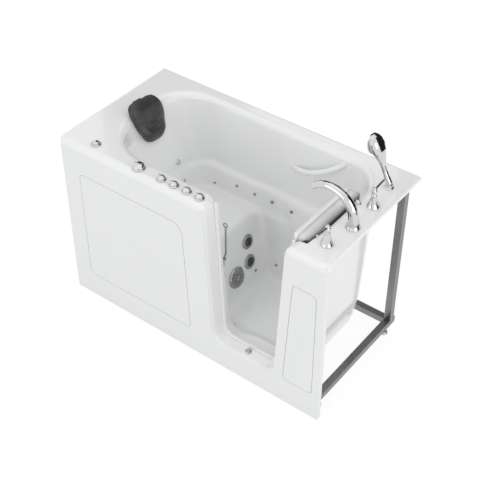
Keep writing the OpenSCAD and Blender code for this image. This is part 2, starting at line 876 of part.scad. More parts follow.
// Stainless floor frame of square tubes
post_x = half_l - post_in;
post_y = back - post_side;
rail_top = frame_z + tube_w;
module tube(p, l, dir) {
  translate(p)
    rotate(dir)
      difference() {
        translate([-tube_w / 2, -tube_w / 2, 0])
          cube([tube_w, tube_w, l]);
        translate([-tube_w / 2 + tube_t, -tube_w / 2 + tube_t, -over])
          cube([tube_w - 2 * tube_t, tube_w - 2 * tube_t, l + 2 * over]);
      }
}
stud_r = 6;
foot_inset = 18;
module foot_places() {
  for (x = [-post_x, post_x], y = [-1, 1])
    translate([x, y * (post_y - tube_w / 2 - foot_inset), 0])
      children();
  for (y = [-post_y, post_y])
    translate([0, y, 0])
      children();
}
module stud_holes() {
  foot_places()
    translate([0, 0, frame_z - over])
      cylinder(h = tube_t + 2 * over, r = stud_r + 0.3, $fn = fine);
}
// Rails along the bath, and rails across it: at the ends, under the bath and under the seat
rail_gap = 0.2;
bay_l = half_l + seat_front;
cross_rail_xs = [-half_l + 0.34 * bay_l, -half_l + 0.747 * bay_l, seat_front + 180, well_x1 - 185];
seat_under = seat_z - wall;
seat_rail_xs = [seat_back + 70, seat_front - 80];
module side_rails() {
  color("darkgray")
    difference() {
      for (y = [-post_y, post_y])
        tube([-post_x + tube_w / 2 + rail_gap, y, frame_z + tube_w / 2],
          2 * (post_x - tube_w / 2 - rail_gap), [0, 90, 0]);
      stud_holes();
    }
}
module cross_rails() {
  color("darkgray") {
    difference() {
      for (x = [-post_x, post_x])
        tube([x, -post_y - tube_w / 2 - rail_past, frame_z + tube_w / 2],
          2 * post_y + tube_w + 2 * rail_past, [-90, 0, 0]);
      stud_holes();
    }
    for (x = cross_rail_xs)
      tube([x, -post_y + tube_w / 2 + rail_gap, frame_z + tube_w / 2],
        2 * (post_y - tube_w / 2 - rail_gap), [-90, 0, 0]);
    for (x = seat_rail_xs)
      tube([x, -post_y - tube_w / 2, seat_under - tube_w / 2], 2 * post_y + tube_w, [-90, 0, 0]);
  }
}
pad_t = 4;
module frame_posts() {
  color("darkgray") {
    for (x = [-post_x, post_x], y = [-post_y, post_y])
      tube([x, y, rail_top], deck_z - wall - pad_t - rail_top, [0, 0, 0]);
    for (x = seat_rail_xs, y = [-post_y, post_y])
      tube([x, y, rail_top], seat_under - tube_w - rail_top, [0, 0, 0]);
  }
}
module deck_pads() {
  color("dimgray")
    for (x = [-post_x, post_x], y = [-post_y, post_y])
      translate([x - 25, y - 22, deck_z - wall - pad_t])
        cube([50, 44, pad_t]);
}
board_in = 45;
board_y0 = side_y0 + board_in;
board_y1 = side_y1 - board_in - 25;
module footwell_board() {
  hole = drain_r + 12;
  slot = 2 * (waste_r + 5);
  color("burlywood")
    difference() {
      translate([riser_x(well_z) + board_in, board_y0, rail_top])
        cube([well_x1 - riser_x(well_z) - 2 * board_in, board_y1 - board_y0, floor_z - wall - rail_top]);
      translate([drain_at[0], drain_at[1], rail_top - over])
        cylinder(h = floor_z - rail_top, r = hole, $fn = fine);
      translate([drain_at[0] - slot / 2, board_y0 - over, rail_top - over])
        cube([slot, drain_at[1] - board_y0, floor_z - rail_top]);
    }
}
module foot_nuts() {
  color("silver")
    foot_places()
      for (z = [frame_z - 8, frame_z + tube_t])
        translate([0, 0, z])
          difference() {
            cylinder(h = 8, r = 10.5, $fn = 6);
            translate([0, 0, -over])
              cylinder(h = 10, r = stud_r, $fn = fine);
          }
}
module levelling_feet() {
  color("silver")
    foot_places()
      rotate_extrude($fn = fine)
        polygon([
          [0, 0], [foot_r, 0], [foot_r, 6], [foot_r - 5, 14], [stud_r, 16],
          [stud_r, frame_z + 22], [0, frame_z + 22],
        ]);
}

// A tube swept along stations, each [x, y, z, half width, half thickness].
// Its width lies as nearly along Y as the path lets it.
function spot(p) = [p[0], p[1], p[2]];
function station_dir(s, i) = unit(spot(s[min(i + 1, len(s) - 1)]) - spot(s[max(i - 1, 0)]));
function station_side(d) = unit([0, 1, 0] - d[1] * d);
function sweep_points(s, n) = [
  for (i = [0:len(s) - 1], k = [0:n - 1])
    let (d = station_dir(s, i), w = station_side(d), t = cross(d, w))
    spot(s[i]) + w * s[i][3] * sin(360 * k / n) + t * s[i][4] * cos(360 * k / n)
];
module sweep(s, n = 24) {
  m = len(s);
  side_faces = [
    for (i = [0:m - 2], k = [0:n - 1])
      each [
        [i * n + k, i * n + (k + 1) % n, (i + 1) * n + k],
        [i * n + (k + 1) % n, (i + 1) * n + (k + 1) % n, (i + 1) * n + k],
      ]
  ];
  low_cap = [for (k = [1:n - 2]) [0, k + 1, k]];
  top_cap = [for (k = [1:n - 2]) [(m - 1) * n, (m - 1) * n + k, (m - 1) * n + k + 1]];
  polyhedron(points = sweep_points(s, n), faces = concat(side_faces, low_cap, top_cap));
}

// Spout: a tapering tube on a conical ring
ring_h = 18;
shank_l = 84;
shank_r = 13.5;
spout_end = 136;
spout_path = concat(
  [[spout_x, spout_y, deck_z + ring_h, spout_r0, spout_r0]],
  [for (i = [0:18])
    let (a = spout_end * i / 18, r = spout_r0 + (spout_r1 - spout_r0) * i / 18)
    [spout_x - spout_bend * (1 - cos(a)), spout_y, deck_z + spout_rise + spout_bend * sin(a), r, r]]
);
module spout_base() {
  color("gray")
    translate([spout_x, spout_y, deck_z])
      difference() {
        rotate_extrude($fn = fine)
          polygon([[0, 0], [33, 0], [33, 4], [spout_r0 + 3, ring_h], [0, ring_h]]);
        translate([0, 0, -over])
          cylinder(h = ring_h + 2 * over, r = 14, $fn = fine);
      }
}
module spout() {
  tip = spout_path[len(spout_path) - 1];
  color("silver") {
    difference() {
      sweep(spout_path);
      translate(spot(tip))
        rotate([0, -spout_end, 0])
          translate([0, 0, -18])
            cylinder(h = 30, r = spout_r1 - 3.5, $fn = fine);
    }
    translate([spout_x, spout_y, deck_z - shank_l])
      cylinder(h = shank_l + ring_h, r = shank_r, $fn = fine);
  }
}

// Taps: a bell on the deck, a lever above it and a valve body below it
valve_r = 16.5;
valve_l = 84;
pipe_z = deck_z - 70;
pipe_r = 8;
inlet_z = deck_z - 44;
inlet_l = 20;
boss_l = valve_r + 1.5;
deck_nut_h = 10;
module tap_bells() {
  color("gray")
    for (p = [hot_at, cold_at])
      translate([p[0], p[1], deck_z])
        difference() {
          rotate_extrude($fn = fine)
            polygon(concat(
              [[0, 0], [bell_r, 0], [bell_r, 4]],
              [for (i = [1:8]) [11.5 + (bell_r - 11.5) * pow(1 - i / 8, 1.35), 4 + (bell_h - 4) * i / 8]],
              [[0, bell_h]]
            ));
          translate([0, 0, -over])
            cylinder(h = bell_h + 2 * over, r = 8, $fn = fine);
        }
}
// A valve body with its inlet stub pointing out of the tap end
module tap_bodies() {
  color("darkgoldenrod")
    for (p = [hot_at, cold_at])
      translate([p[0], p[1], deck_z])
        difference() {
          union() {
            translate([0, 0, -valve_l])
              cylinder(h = valve_l, r = valve_r, $fn = fine);
            translate([0, 0, -wall - deck_nut_h])
              cylinder(h = deck_nut_h, r = 26, $fn = 6);
            translate([0, -inlet_r - 2, inlet_z - deck_z - inlet_r - 2])
              cube([boss_l, 2 * inlet_r + 4, 2 * inlet_r + 4]);
            along_x_at([0, 0, inlet_z - deck_z])
              cylinder(h = boss_l + inlet_l, r = inlet_r, $fn = fine);
          }
          along_x_at([boss_l - 8, 0, inlet_z - deck_z])
            cylinder(h = inlet_l + 9, r = 8, $fn = fine);
          translate([0, 0, -30])
            cylinder(h = 31, r = 7.5 + pin_fit, $fn = fine);
        }
}
hub_h = 44;
// A lever with its hub and stem, pointing along +Y
module tap_lever() {
  rotate_extrude($fn = fine)
    polygon([
      [0, -28], [7.5, -28], [7.5, bell_h + 0.3], [12, bell_h + 0.3], [14, bell_h + 6],
      [11, bell_h + 14], [12.5, bell_h + 20], [12.5, bell_h + 30], [9, bell_h + 36],
      [11, bell_h + 40], [8, bell_h + hub_h], [0, bell_h + hub_h],
    ]);
  translate([0, 0, bell_h + 34])
    rotate([-84, 0, 0])
      cylinder(h = lever_l, r1 = 6, r2 = 4.5, $fn = fine);
  translate([0, lever_l * cos(6), bell_h + 34 + lever_l * sin(6)])
    sphere(r = 4.7, $fn = 24);
}
module hot_lever() {
  color("silver")
    translate([hot_at[0], hot_at[1], deck_z])
      rotate([0, 0, 180])
        tap_lever();
}
module cold_lever() {
  color("silver")
    translate([cold_at[0], cold_at[1], deck_z])
      tap_lever();
}
// A run of round pipe through points, with ball corners
module pipe(ps, r) {
  for (i = [0:len(ps) - 2]) {
    d = ps[i + 1] - ps[i];
    translate(ps[i])
      rotate([0, acos(d[2] / norm(d)), atan2(d[1], d[0])])
        cylinder(h = norm(d), r = r, $fn = fine);
  }
  if (len(ps) > 2)
    for (i = [1:len(ps) - 2])
      translate(ps[i])
        sphere(r = r + 1.5, $fn = fine);
}
// Pipes that join both valves to the spout, and the cold valve to the hand shower.
// Each stops just short of the round bodies [x, y, radius] that it runs between.
solder_gap = 0.2;
module pipe_between(ps, bodies) {
  difference() {
    pipe(ps, pipe_r);
    for (b = bodies)
      translate([b[0], b[1], pipe_z - 2 * pipe_r])
        cylinder(h = 4 * pipe_r, r = b[2] + solder_gap, $fn = fine);
  }
}
module mixing_pipes() {
  s = [spout_x, spout_y, pipe_z];
  h = [hot_at[0], hot_at[1], pipe_z];
  c = [cold_at[0], cold_at[1], pipe_z];
  g = [shower_at[0], shower_at[1], pipe_z];
  color("peru") {
    pipe_between([h, s], [[h[0], h[1], valve_r], [s[0], s[1], shank_r]]);
    pipe_between([c, s], [[c[0], c[1], valve_r], [s[0], s[1], shank_r]]);
    pipe_between([c, g, [g[0], g[1], deck_z - cradle_drop]], [[c[0], c[1], valve_r]]);
  }
}

// Hand shower standing in its deck cradle
cradle_h = 20;
cradle_drop = 52;
cradle_bore = 10.3;
handset_seat = 0.4;
module shower_cradle() {
  color("silver")
    translate([shower_at[0], shower_at[1], deck_z]) {
      difference() {
        union() {
          rotate_extrude($fn = fine)
            polygon([[0, 0], [22, 0], [22, 3], [17, 7], [16, cradle_h], [0, cradle_h]]);
          translate([0, 0, -cradle_drop])
            cylinder(h = cradle_drop + over, r = 14, $fn = fine);
          translate([0, 0, -wall - deck_nut_h])
            cylinder(h = deck_nut_h, r = 24, $fn = 6);
        }
        translate([0, 0, -40])
          cylinder(h = 40 + cradle_h + over, r = cradle_bore, $fn = fine);
        translate([0, 0, -cradle_drop - over])
          cylinder(h = cradle_drop, r = pipe_r + 0.05, $fn = fine);
      }
    }
}
handset_z0 = cradle_h + handset_seat;
handset_path = [
  [0, 0, handset_z0, 13, 13], [0, 0, handset_z0 + 8, 13.5, 13], [-6, 0, 38, 14, 13],
  [-16, 0, 55, 13, 12], [-28, 0, 80, 13, 12], [-38, 0, 106, 15, 13], [-47, 0, 130, 21, 16],
  [-56, 0, 152, 31, 21], [-66, 0, 174, 41, 26], [-77, 0, 196, 45, 28], [-89, 0, 217, 41, 26],
  [-99, 0, 234, 30, 20], [-106, 0, 245, 16, 11],
];
face_r = 36;
module shower_handset() {
  color("silver")
    translate([shower_at[0], shower_at[1], deck_z]) {
      difference() {
        sweep(handset_path, 28);
        spray_frame(face_lift - 0.3)
          cylinder(h = 20, r = face_r + 0.3, $fn = fine);
      }
      translate([0, 0, -34])
        cylinder(h = 34 + handset_z0 + 4, r = cradle_bore - 0.3, $fn = fine);
    }
}
face_at = [-77, 196];
face_n = unit([-0.9, -0.42]);
face_lift = 26;
// The spray face's own frame, d out from the middle of the head
module spray_frame(d) {
  translate([face_at[0] + face_n[0] * d, 0, face_at[1] + face_n[1] * d])
    rotate([0, atan2(face_n[0], face_n[1]), 0])
      children();
}
face_t = 5;
// A circle of n spray nubs
module nubs(n, r) {
  for (k = [1:n])
    rotate([0, 0, 360 * k / n])
      translate([r, 0, face_t])
        cylinder(h = 1.5, r = 1.6, $fn = 16);
}
module spray_face() {
  color("gainsboro")
    translate([shower_at[0], shower_at[1], deck_z])
      spray_frame(face_lift) {
        cylinder(h = face_t, r = face_r, $fn = fine);
        nubs(12, face_r - 8);
        nubs(6, face_r - 19);
      }
}

// Deck controls: chrome bezels, turning knobs, the selector and the push button
bezel_h = 5;
module bezel(p, r, bore) {
  translate([p[0], p[1], deck_z])
    difference() {
      rotate_extrude($fn = fine)
        polygon([[0, 0], [r, 0], [r, 2], [r - 3, bezel_h], [0, bezel_h]]);
      translate([0, 0, -over])
        cylinder(h = bezel_h + 2 * over, r = bore, $fn = fine);
    }
}
module deck_bezels() {
  color("silver") {
    bezel(button_at, button_r + 8, button_hole_r);
    bezel(selector_at, selector_r + 4, 8);
    for (x = knob_xs)
      bezel([x, knob_y], knob_r + 5, 8);
    bezel(drain_knob_at, drain_knob_r + 4, 8);
  }
}
nut_gap = 0.5;
nut_w = 3;
selector_body_r = 15;
module control_body(p, r, drop, bore) {
  translate([p[0], p[1], deck_z])
    difference() {
      union() {
        translate([0, 0, -drop])
          cylinder(h = drop, r = r, $fn = fine);
        translate([0, 0, -wall - nut_gap - 8])
          cylinder(h = 8, r = r + nut_w, $fn = fine);
      }
      translate([0, 0, -drop + 6])
        cylinder(h = drop, r = bore, $fn = fine);
    }
}
module deck_control_bodies() {
  color("dimgray") {
    control_body(button_at, 19.5, 50, button_r + 0.6);
    control_body(selector_at, selector_body_r, 80, 6 + pin_fit);
    for (x = knob_xs)
      control_body([x, knob_y], 13.5, 50, 6 + pin_fit);
    control_body(drain_knob_at, 9, 36, 6 + pin_fit);
  }
}
module knob(p, r, h, stem) {
  translate([p[0], p[1], deck_z]) {
    rotate_extrude($fn = fine)
      polygon(concat(
        [[0, bezel_h + 0.3], [r, bezel_h + 0.3], [r, bezel_h + 5]],
        [for (i = [1:7]) [r * cos(90 * i / 8), bezel_h + 5 + (h - 5) * sin(90 * i / 8)]],
        [[0, bezel_h + h]]
      ));
    translate([0, 0, -stem])
      cylinder(h = stem + bezel_h + 1, r = 6, $fn = fine);
    // A grip rib across the top
    translate([-r * 0.8, -2.5, bezel_h + h * 0.45])
      cube([r * 1.6, 5, h * 0.62]);
  }
}
module jet_selector() {
  color("silver")
    knob(selector_at, selector_r, 19, 60);
}
module push_button() {
  color("silver")
    translate([button_at[0], button_at[1], deck_z])
      rotate_extrude($fn = fine)
        polygon(concat(
          [[0, -12], [button_r, -12], [button_r, bezel_h + 4]],
          [for (i = [1:5]) [button_r * cos(90 * i / 6), bezel_h + 4 + 5 * sin(90 * i / 6)]],
          [[0, bezel_h + 9]]
        ));
}
module air_knob(i) {
  color("silver")
    knob([knob_xs[i], knob_y], knob_r, 15, 36);
}
module air_knob_1() {
  air_knob(0);
}
module air_knob_2() {
  air_knob(1);
}
module air_knob_3() {
  air_knob(2);
}
module air_knob_4() {
  air_knob(3);
}

// Headrest: a crowned cushion with a raised lower roll, over the top of the backrest
pillow_lean = atan2(back_run, deck_z - ledge_z);
pillow_gap = 0.5;
pillow_above = 42;
pillow_turn = -5.3;
pillow_rows = 18;
pillow_cols = 24;
pillow_edge_t = 6;
function crown(u, v) = pow(max(1 - pow(abs(u), 3.2), 0), 0.45) * pow(max(1 - pow(abs(v), 3.2), 0), 0.45);
// Lower roll and upper roll of the cushion, with a dish for the neck between them
function roll(v) = 0.8 + 0.2 * exp(-pow((v + 0.6) / 0.26, 2)) + 0.12 * exp(-pow((v - 0.7) / 0.22, 2));
function dish(u, v) = 0.14 * (1 - u * u) * (1 - abs(v));
// Wider at the top than at the bottom
function draw_in(v) = (0.9 + 0.1 * cos(150 * (v - 0.15))) * (1 + 0.114 * v);
function pillow_plan(u, v) = [
  pillow_w / 2 * u * sqrt(1 - 0.34 * pow(v, 4)) * draw_in(v), pillow_l / 2 * v * sqrt(1 - 0.3 * pow(u, 4)),
];
function pillow_at(u, v, front_side) =
  let (p = pillow_plan(u, v))
  let (h = (pillow_t - pillow_edge_t) * crown(u, v) * (roll(v) - dish(u, v)))
  [p[0], p[1], front_side ? pillow_edge_t + h : 0];
function mesh_u(i) = sin(90 * (2 * i / pillow_cols - 1));
function mesh_v(j) = sin(90 * (2 * j / pillow_rows - 1));
pillow_points = [
  for (f = [true, false], j = [0:pillow_rows], i = [0:pillow_cols]) pillow_at(mesh_u(i), mesh_v(j), f)
];
pillow_side = (pillow_rows + 1) * (pillow_cols + 1);
function cell(i, j) = j * (pillow_cols + 1) + i;
pillow_edge = concat(
  [for (i = [0:pillow_cols - 1]) cell(i, 0)], [for (j = [0:pillow_rows - 1]) cell(pillow_cols, j)],
  [for (i = [pillow_cols:-1:1]) cell(i, pillow_rows)], [for (j = [pillow_rows:-1:1]) cell(0, j)]
);
pillow_faces = concat(
  [for (j = [0:pillow_rows - 1], i = [0:pillow_cols - 1])
    each [
      [cell(i, j), cell(i, j + 1), cell(i + 1, j)],
      [cell(i + 1, j), cell(i, j + 1), cell(i + 1, j + 1)],
      [cell(i, j) + pillow_side, cell(i + 1, j) + pillow_side, cell(i, j + 1) + pillow_side],
      [cell(i + 1, j) + pillow_side, cell(i + 1, j + 1) + pillow_side, cell(i, j + 1) + pillow_side],
    ]],
  [for (k = [0:len(pillow_edge) - 1])
    let (a = pillow_edge[k], b = pillow_edge[(k + 1) % len(pillow_edge)])
    each [[a, b, b + pillow_side], [a, b + pillow_side, a + pillow_side]]]
);
// The cushion's own frame: width across the bath, length up the backrest, thickness outwards
module pillow_frame() {
  mid_z = deck_z - pillow_l / 2 * cos(pillow_lean) + pillow_above;
  translate([back_x(mid_z) + pillow_gap, pillow_y, mid_z])
    rotate([0, -pillow_lean, 0])
      rotate([90, 0, 90])
        rotate([0, 0, pillow_turn])
          children();
}
module headrest_pillow() {
  color("#3b3b3b")
    pillow_frame()
      polyhedron(points = pillow_points, faces = pillow_faces);
}

// Grab bar on the wall side, rising towards the tap end
bar_r = 14;
bar_x0 = half_l - 634;
bar_x1 = half_l - 364;
bar_z0 = deck_z - 177;
bar_z1 = deck_z - 39;
bar_out = 38;
bar_gap = 0.3;
function bath_wall_y(z) = bath_y1 - wall_draft * (deck_z - z) / (deck_z - ledge_z);
bar_steps = 20;
bar_path = [
  for (i = [0:bar_steps])
    let (t = i / bar_steps, z = bar_z0 + (bar_z1 - bar_z0) * t)
    [
      bar_x0 + (bar_x1 - bar_x0) * t - 14 * cos(180 * t),
      bath_wall_y(z) + 14 - (bar_out + 14) * pow(sin(180 * t), 0.7),
      z - 24 * sin(180 * t),
      bar_r, bar_r
    ]
];
module grab_bar() {
  color("white")
    difference() {
      sweep(bar_path, 20);
      translate([bar_x0 - bar_out, bath_y1 - bar_gap, deck_z])
        rotate([-atan2(wall_draft, deck_z - ledge_z), 0, 0])
          translate([0, 0, ledge_z - deck_z])
            cube([bar_x1 - bar_x0 + 2 * bar_out, 2 * bar_out, tub_h - ledge_z + 2 * bar_out]);
    }
}

// Jets in the riser under the seat, in the backrest and along the wall
module jet_rings() {
  color("silver")
    for (p = [lower_jet_at, upper_jet_at])
      on_slope(p, riser_n)
        difference() {
          rotate_extrude($fn = fine)
            polygon([[0, 0.2], [jet_r, 0.2], [jet_r, 3], [jet_r - 5, 8], [0, 8]]);
          translate([0, 0, -over])
            cylinder(h = 12, r = 24.5, $fn = fine);
        }
}
behind = wall * 1.45;
module jet_body(r, l) {
  difference() {
    union() {
      translate([0, 0, -l])
        cylinder(h = l, r = r, $fn = fine);
      translate([0, 0, -behind - 9])
        cylinder(h = 9, r = r + 8, $fn = fine);
      translate([0, 0, -l + r])
        rotate([0, 90, 0])
          cylinder(h = r + 22, r = r * 0.55, $fn = fine);
    }
    translate([0, 0, -l + 5])
      cylinder(h = l, r = r - 3.5, $fn = fine);
    translate([0, 0, -l + r])
      rotate([0, 90, 0])
        cylinder(h = r + 30, r = r * 0.4, $fn = fine);
  }
}
module jet_bodies() {
  color("whitesmoke") {
    for (p = [lower_jet_at, upper_jet_at])
      on_slope(p, riser_n)
        jet_body(jet_r - 12.5, 60);
    for (p = back_jets_at)
      on_slope([p[0], p[1], p[2]], p[3] == 0 ? back_n : low_back_n)
        jet_body(back_jet_r - 5.5, 34);
  }
}
nozzle_r = jet_r - 12.5 - 3.5 - 0.3;
module jet_nozzle(p) {
  on_slope(p, riser_n)
    difference() {
      rotate_extrude($fn = fine)
        polygon([[0, -18], [nozzle_r, -18], [nozzle_r, 7], [20, 12], [12, 10], [0, 10]]);
      translate([6, 0, -19])
        cylinder(h = 40, r = 5, $fn = fine);
      translate([-11, 0, 4])
        cylinder(h = 20, r = 3, $fn = fine);
    }
}
module lower_jet_nozzle() {
  color("silver")
    jet_nozzle(lower_jet_at);
}
module upper_jet_nozzle() {
  color("silver")
    jet_nozzle(upper_jet_at);
}
module back_jets() {
  color("silver")
    for (p = back_jets_at)
      on_slope([p[0], p[1], p[2]], p[3] == 0 ? back_n : low_back_n)
        difference() {
          rotate_extrude($fn = fine)
            polygon([[0, 0.2], [back_jet_r, 0.2], [back_jet_r, 2], [back_jet_r - 4, 6], [0, 6]]);
          translate([0, 0, 2])
            cylinder(h = 12, r = 5, $fn = fine);
        }
}
module air_jet() {
  rotate_extrude($fn = 24)
    polygon([
      [0, -24], [air_jet_r - 4.5, -24], [air_jet_r - 4.5, 0.2], [air_jet_r, 0.2],
      [air_jet_r - 1, 2.5], [2, 3.5], [2, 1.5], [0, 1.5],
    ]);
}
module air_jets() {
  color("silver") {
    for (a = air_jets_at)
      on_wall(a)
        air_jet();
    on_slope(riser_air_at, riser_n)
      air_jet();
  }
}
module suction_fitting() {
  color("silver")
    on_slope(suction_at, riser_n)
      difference() {
        union() {
          rotate_extrude($fn = fine)
            polygon([
              [0, 0.2], [suction_r, 0.2], [suction_r, 4], [suction_r - 6, 11],
              [suction_r - 20, 14], [0, 14],
            ]);
          translate([0, 0, -70])
            cylinder(h = 71, r = suction_r - 22.5, $fn = fine);
          translate([0, 0, -behind - 11])
            cylinder(h = 11, r = suction_r - 10, $fn = fine);
        }
        translate([0, 0, -71])
          cylinder(h = 78, r = suction_r - 26, $fn = fine);
        for (k = [0:11])
          rotate([0, 0, 30 * k])
            translate([14, -1.6, 2])
              cube([suction_r - 24, 3.2, 20]);
      }
}

// Waste: a floor drain with its stopper, an overflow plate, the drain knob and the pipes
waste_z = 84;
waste_r = 17;
tee_x = park_x1 + wall + 26;
waste_y = overflow_at[1];
drain_top = floor_z + 4;
overflow_r = 34;
module drain_and_overflow() {
  color("silver")
    overflow_plate();
  color("silver")
    translate([drain_at[0], drain_at[1], 0])
      difference() {
        union() {
          translate([0, 0, floor_z + 0.2])
            rotate_extrude($fn = fine)
              polygon([[0, 0], [drain_r, 0], [drain_r, 2], [drain_r - 4, 4], [0, 4]]);
          translate([0, 0, waste_z - 20])
            cylinder(h = floor_z - waste_z + 21, r = drain_r - 6.5, $fn = fine);
          translate([0, 0, floor_z - wall - 6])
            cylinder(h = 5.7, r = drain_r + 4, $fn = fine);
        }
        translate([0, 0, waste_z - 16])
          cylinder(h = 80, r = drain_r - 10, $fn = fine);
        translate([0, 0, waste_z])
          rotate([90, 0, 0])
            cylinder(h = 60, r = waste_r - 2, $fn = fine);
      }
}
stopper_r = drain_r - 10.5;
module drain_stopper() {
  color("silver")
    translate([drain_at[0], drain_at[1], drain_top])
      rotate_extrude($fn = fine)
        polygon([
          [0, -30], [4, -30], [4, -6], [stopper_r, -6], [stopper_r, 0.5], [drain_r - 6, 0.5],
          [drain_r - 6, 3], [stopper_r - 4, 6], [0, 7],
        ]);
}
module overflow_plate() {
  translate(overflow_at)
    rotate([0, -90, 0])
      difference() {
        union() {
          translate([0, 0, 0.2])
            cylinder(h = 3, r = overflow_r, $fn = fine);
          translate([0, 0, -wall - 16])
            cylinder(h = wall + 17, r = overflow_hole_r - 0.5, $fn = fine);
        }
        translate([0, 0, -40])
          cylinder(h = 39, r = 17, $fn = fine);
        for (k = [0:5])
          rotate([0, 0, 60 * k])
            translate([10, 0, -10])
              cylinder(h = 20, r = 3.5, $fn = 24);
      }
}
module drain_knob() {
  color("silver")
    knob(drain_knob_at, drain_knob_r, 12, 24);
}
// The waste runs from the drain towards the door side, then to a tee under the overflow
module waste_pipes() {
  y0 = drain_at[1] - drain_r + 6.5;
  color("dimgray")
    difference() {
      union() {
        translate([drain_at[0], y0, waste_z])
          rotate([90, 0, 0])
            cylinder(h = y0 - waste_y, r = waste_r, $fn = fine);
        translate([drain_at[0], waste_y, waste_z])
          cube(2 * waste_r + 4, center = true);
        along_x_at([drain_at[0], waste_y, waste_z])
          cylinder(h = tee_x - drain_at[0], r = waste_r, $fn = fine);
        translate([tee_x, waste_y, frame_z])
          cylinder(h = waste_z + 30 - frame_z, r = waste_r + 5, $fn = fine);
        translate([tee_x, waste_y, waste_z])
          cylinder(h = overflow_at[2] - waste_z + 18, r = waste_r - 3, $fn = fine);
        along_x_at([park_x1 + wall + 0.3, waste_y, overflow_at[2]])
          cylinder(h = 36, r = overflow_r - 6, $fn = fine);
      }
      translate([drain_at[0], y0 + over, waste_z])
        rotate([90, 0, 0])
          cylinder(h = y0 + over - waste_y, r = waste_r - 2, $fn = fine);
      along_x_at([drain_at[0], waste_y, waste_z])
        cylinder(h = tee_x - drain_at[0], r = waste_r - 4, $fn = fine);
      translate([tee_x, waste_y, frame_z - over])
        cylinder(h = waste_z - frame_z, r = waste_r + 2, $fn = fine);
      translate([tee_x, waste_y, waste_z - 10])
        cylinder(h = overflow_at[2] - waste_z + 10, r = waste_r - 6, $fn = fine);
      along_x_at([park_x1 + wall, waste_y, overflow_at[2]])
        cylinder(h = 33, r = overflow_hole_r, $fn = fine);
    }
}

// Massage machinery on a tray under the seat
tray_t = 3;
tray_x0 = cross_rail_xs[0] - tube_w / 2;
tray_x1 = cross_rail_xs[1] + tube_w / 2;
tray_y = 250;
tray_top = rail_top + tray_t;
module equipment_tray() {
  color("darkgray")
    difference() {
      translate([tray_x0, -tray_y, rail_top])
        cube([tray_x1 - tray_x0, 2 * tray_y, tray_t]);
      for (x = [tray_x0 + 78, tray_x1 - 78], y = [-60, 30])
        translate([x, y, rail_top - over])
          cylinder(h = tray_t + 2 * over, r = 4, $fn = 24);
    }
}
pump_y = suction_at[1];
pump_z = tray_top + 82;
pump_r = 62;
pump_l = 200;
pump_x1 = seat_front - 240;
pump_x0 = pump_x1 - pump_l;
wet_l = 58;
wet_r = 66;
module pump_motor() {
  color("dimgray")
    difference() {
      union() {
        along_x_at([pump_x0, pump_y, pump_z])
          cylinder(h = pump_x1 - pump_x0, r = pump_r, $fn = fine);
        translate([pump_x0 + 20, pump_y - 55, tray_top])
          cube([pump_x1 - pump_x0 - 40, 110, pump_z - tray_top]);
        translate([pump_x0 + 60, pump_y - 35, pump_z + pump_r - 12])
          cube([80, 70, 34]);
      }
      for (k = [0:8])
        along_x_at([pump_x0 + 14 + k * 20, pump_y, pump_z])
          difference() {
            cylinder(h = 8, r = pump_r + over, $fn = fine);
            cylinder(h = 24, r = pump_r - 6, center = true, $fn = fine);
            translate([-200, -50, -over])
              cube([400, 100, 10]);
          }
    }
}
module pump_wet_end() {
  color("dimgray")
    difference() {
      union() {
        along_x_at([pump_x1, pump_y, pump_z])
          cylinder(h = wet_l, r = wet_r, $fn = fine);
        along_x_at([pump_x1 + wet_l, pump_y, pump_z])
          cylinder(h = 30, r = 32, $fn = fine);
        translate([pump_x1 + wet_l / 2, pump_y, pump_z])
          cylinder(h = wet_r + 36, r = 26, $fn = fine);
      }
      along_x_at([pump_x1 + 10, pump_y, pump_z])
        cylinder(h = 120, r = 24, $fn = fine);
      along_x_at([pump_x1 + 10, pump_y, pump_z])
        cylinder(h = wet_l - 18, r = wet_r - 8, $fn = fine);
      translate([pump_x1 + wet_l / 2, pump_y, pump_z])
        cylinder(h = 120, r = 20, $fn = fine);
    }
}
suction_tail = suction_at - 70 * [riser_n[0], 0, riser_n[1]];
module water_lines() {
  a = [pump_x1 + wet_l + 30, pump_y, pump_z];
  b = [pump_x1 + wet_l / 2, pump_y, pump_z + wet_r + 36];
  color("whitesmoke") {
    pipe([a, [a[0] + 30, a[1], a[2]], suction_tail - 30 * [riser_n[0], 0, riser_n[1]], suction_tail], 24);
    translate(b)
      rotate_extrude($fn = fine)
        polygon([[0, 0], [30, 0], [30, 90], [22, 96], [22, 110], [0, 110]]);
  }
}
blower_at = [(tray_x0 + tray_x1) / 2 - 35, 175, tray_top];
module air_blower() {
  color("dimgray")
    translate(blower_at) {
      cylinder(h = 100, r = 62, $fn = fine);
      translate([0, 0, 100])
        cylinder(h = 25, r1 = 62, r2 = 40, $fn = fine);
      translate([0, 0, 125])
        cylinder(h = 25, r = 20, $fn = fine);
    }
}
box_l = 180;
box_w = 110;
box_h = 150;
box_at = [tray_x0 + 37, -235, tray_top];
module control_box() {
  color("gray")
    translate(box_at)
      difference() {
        cube([box_l, box_w, box_h]);
        for (k = [1:3])
          translate([box_l * k / 4, -over, 30])
            rotate([-90, 0, 0])
              cylinder(h = 8, r = 9, $fn = fine);
      }
}

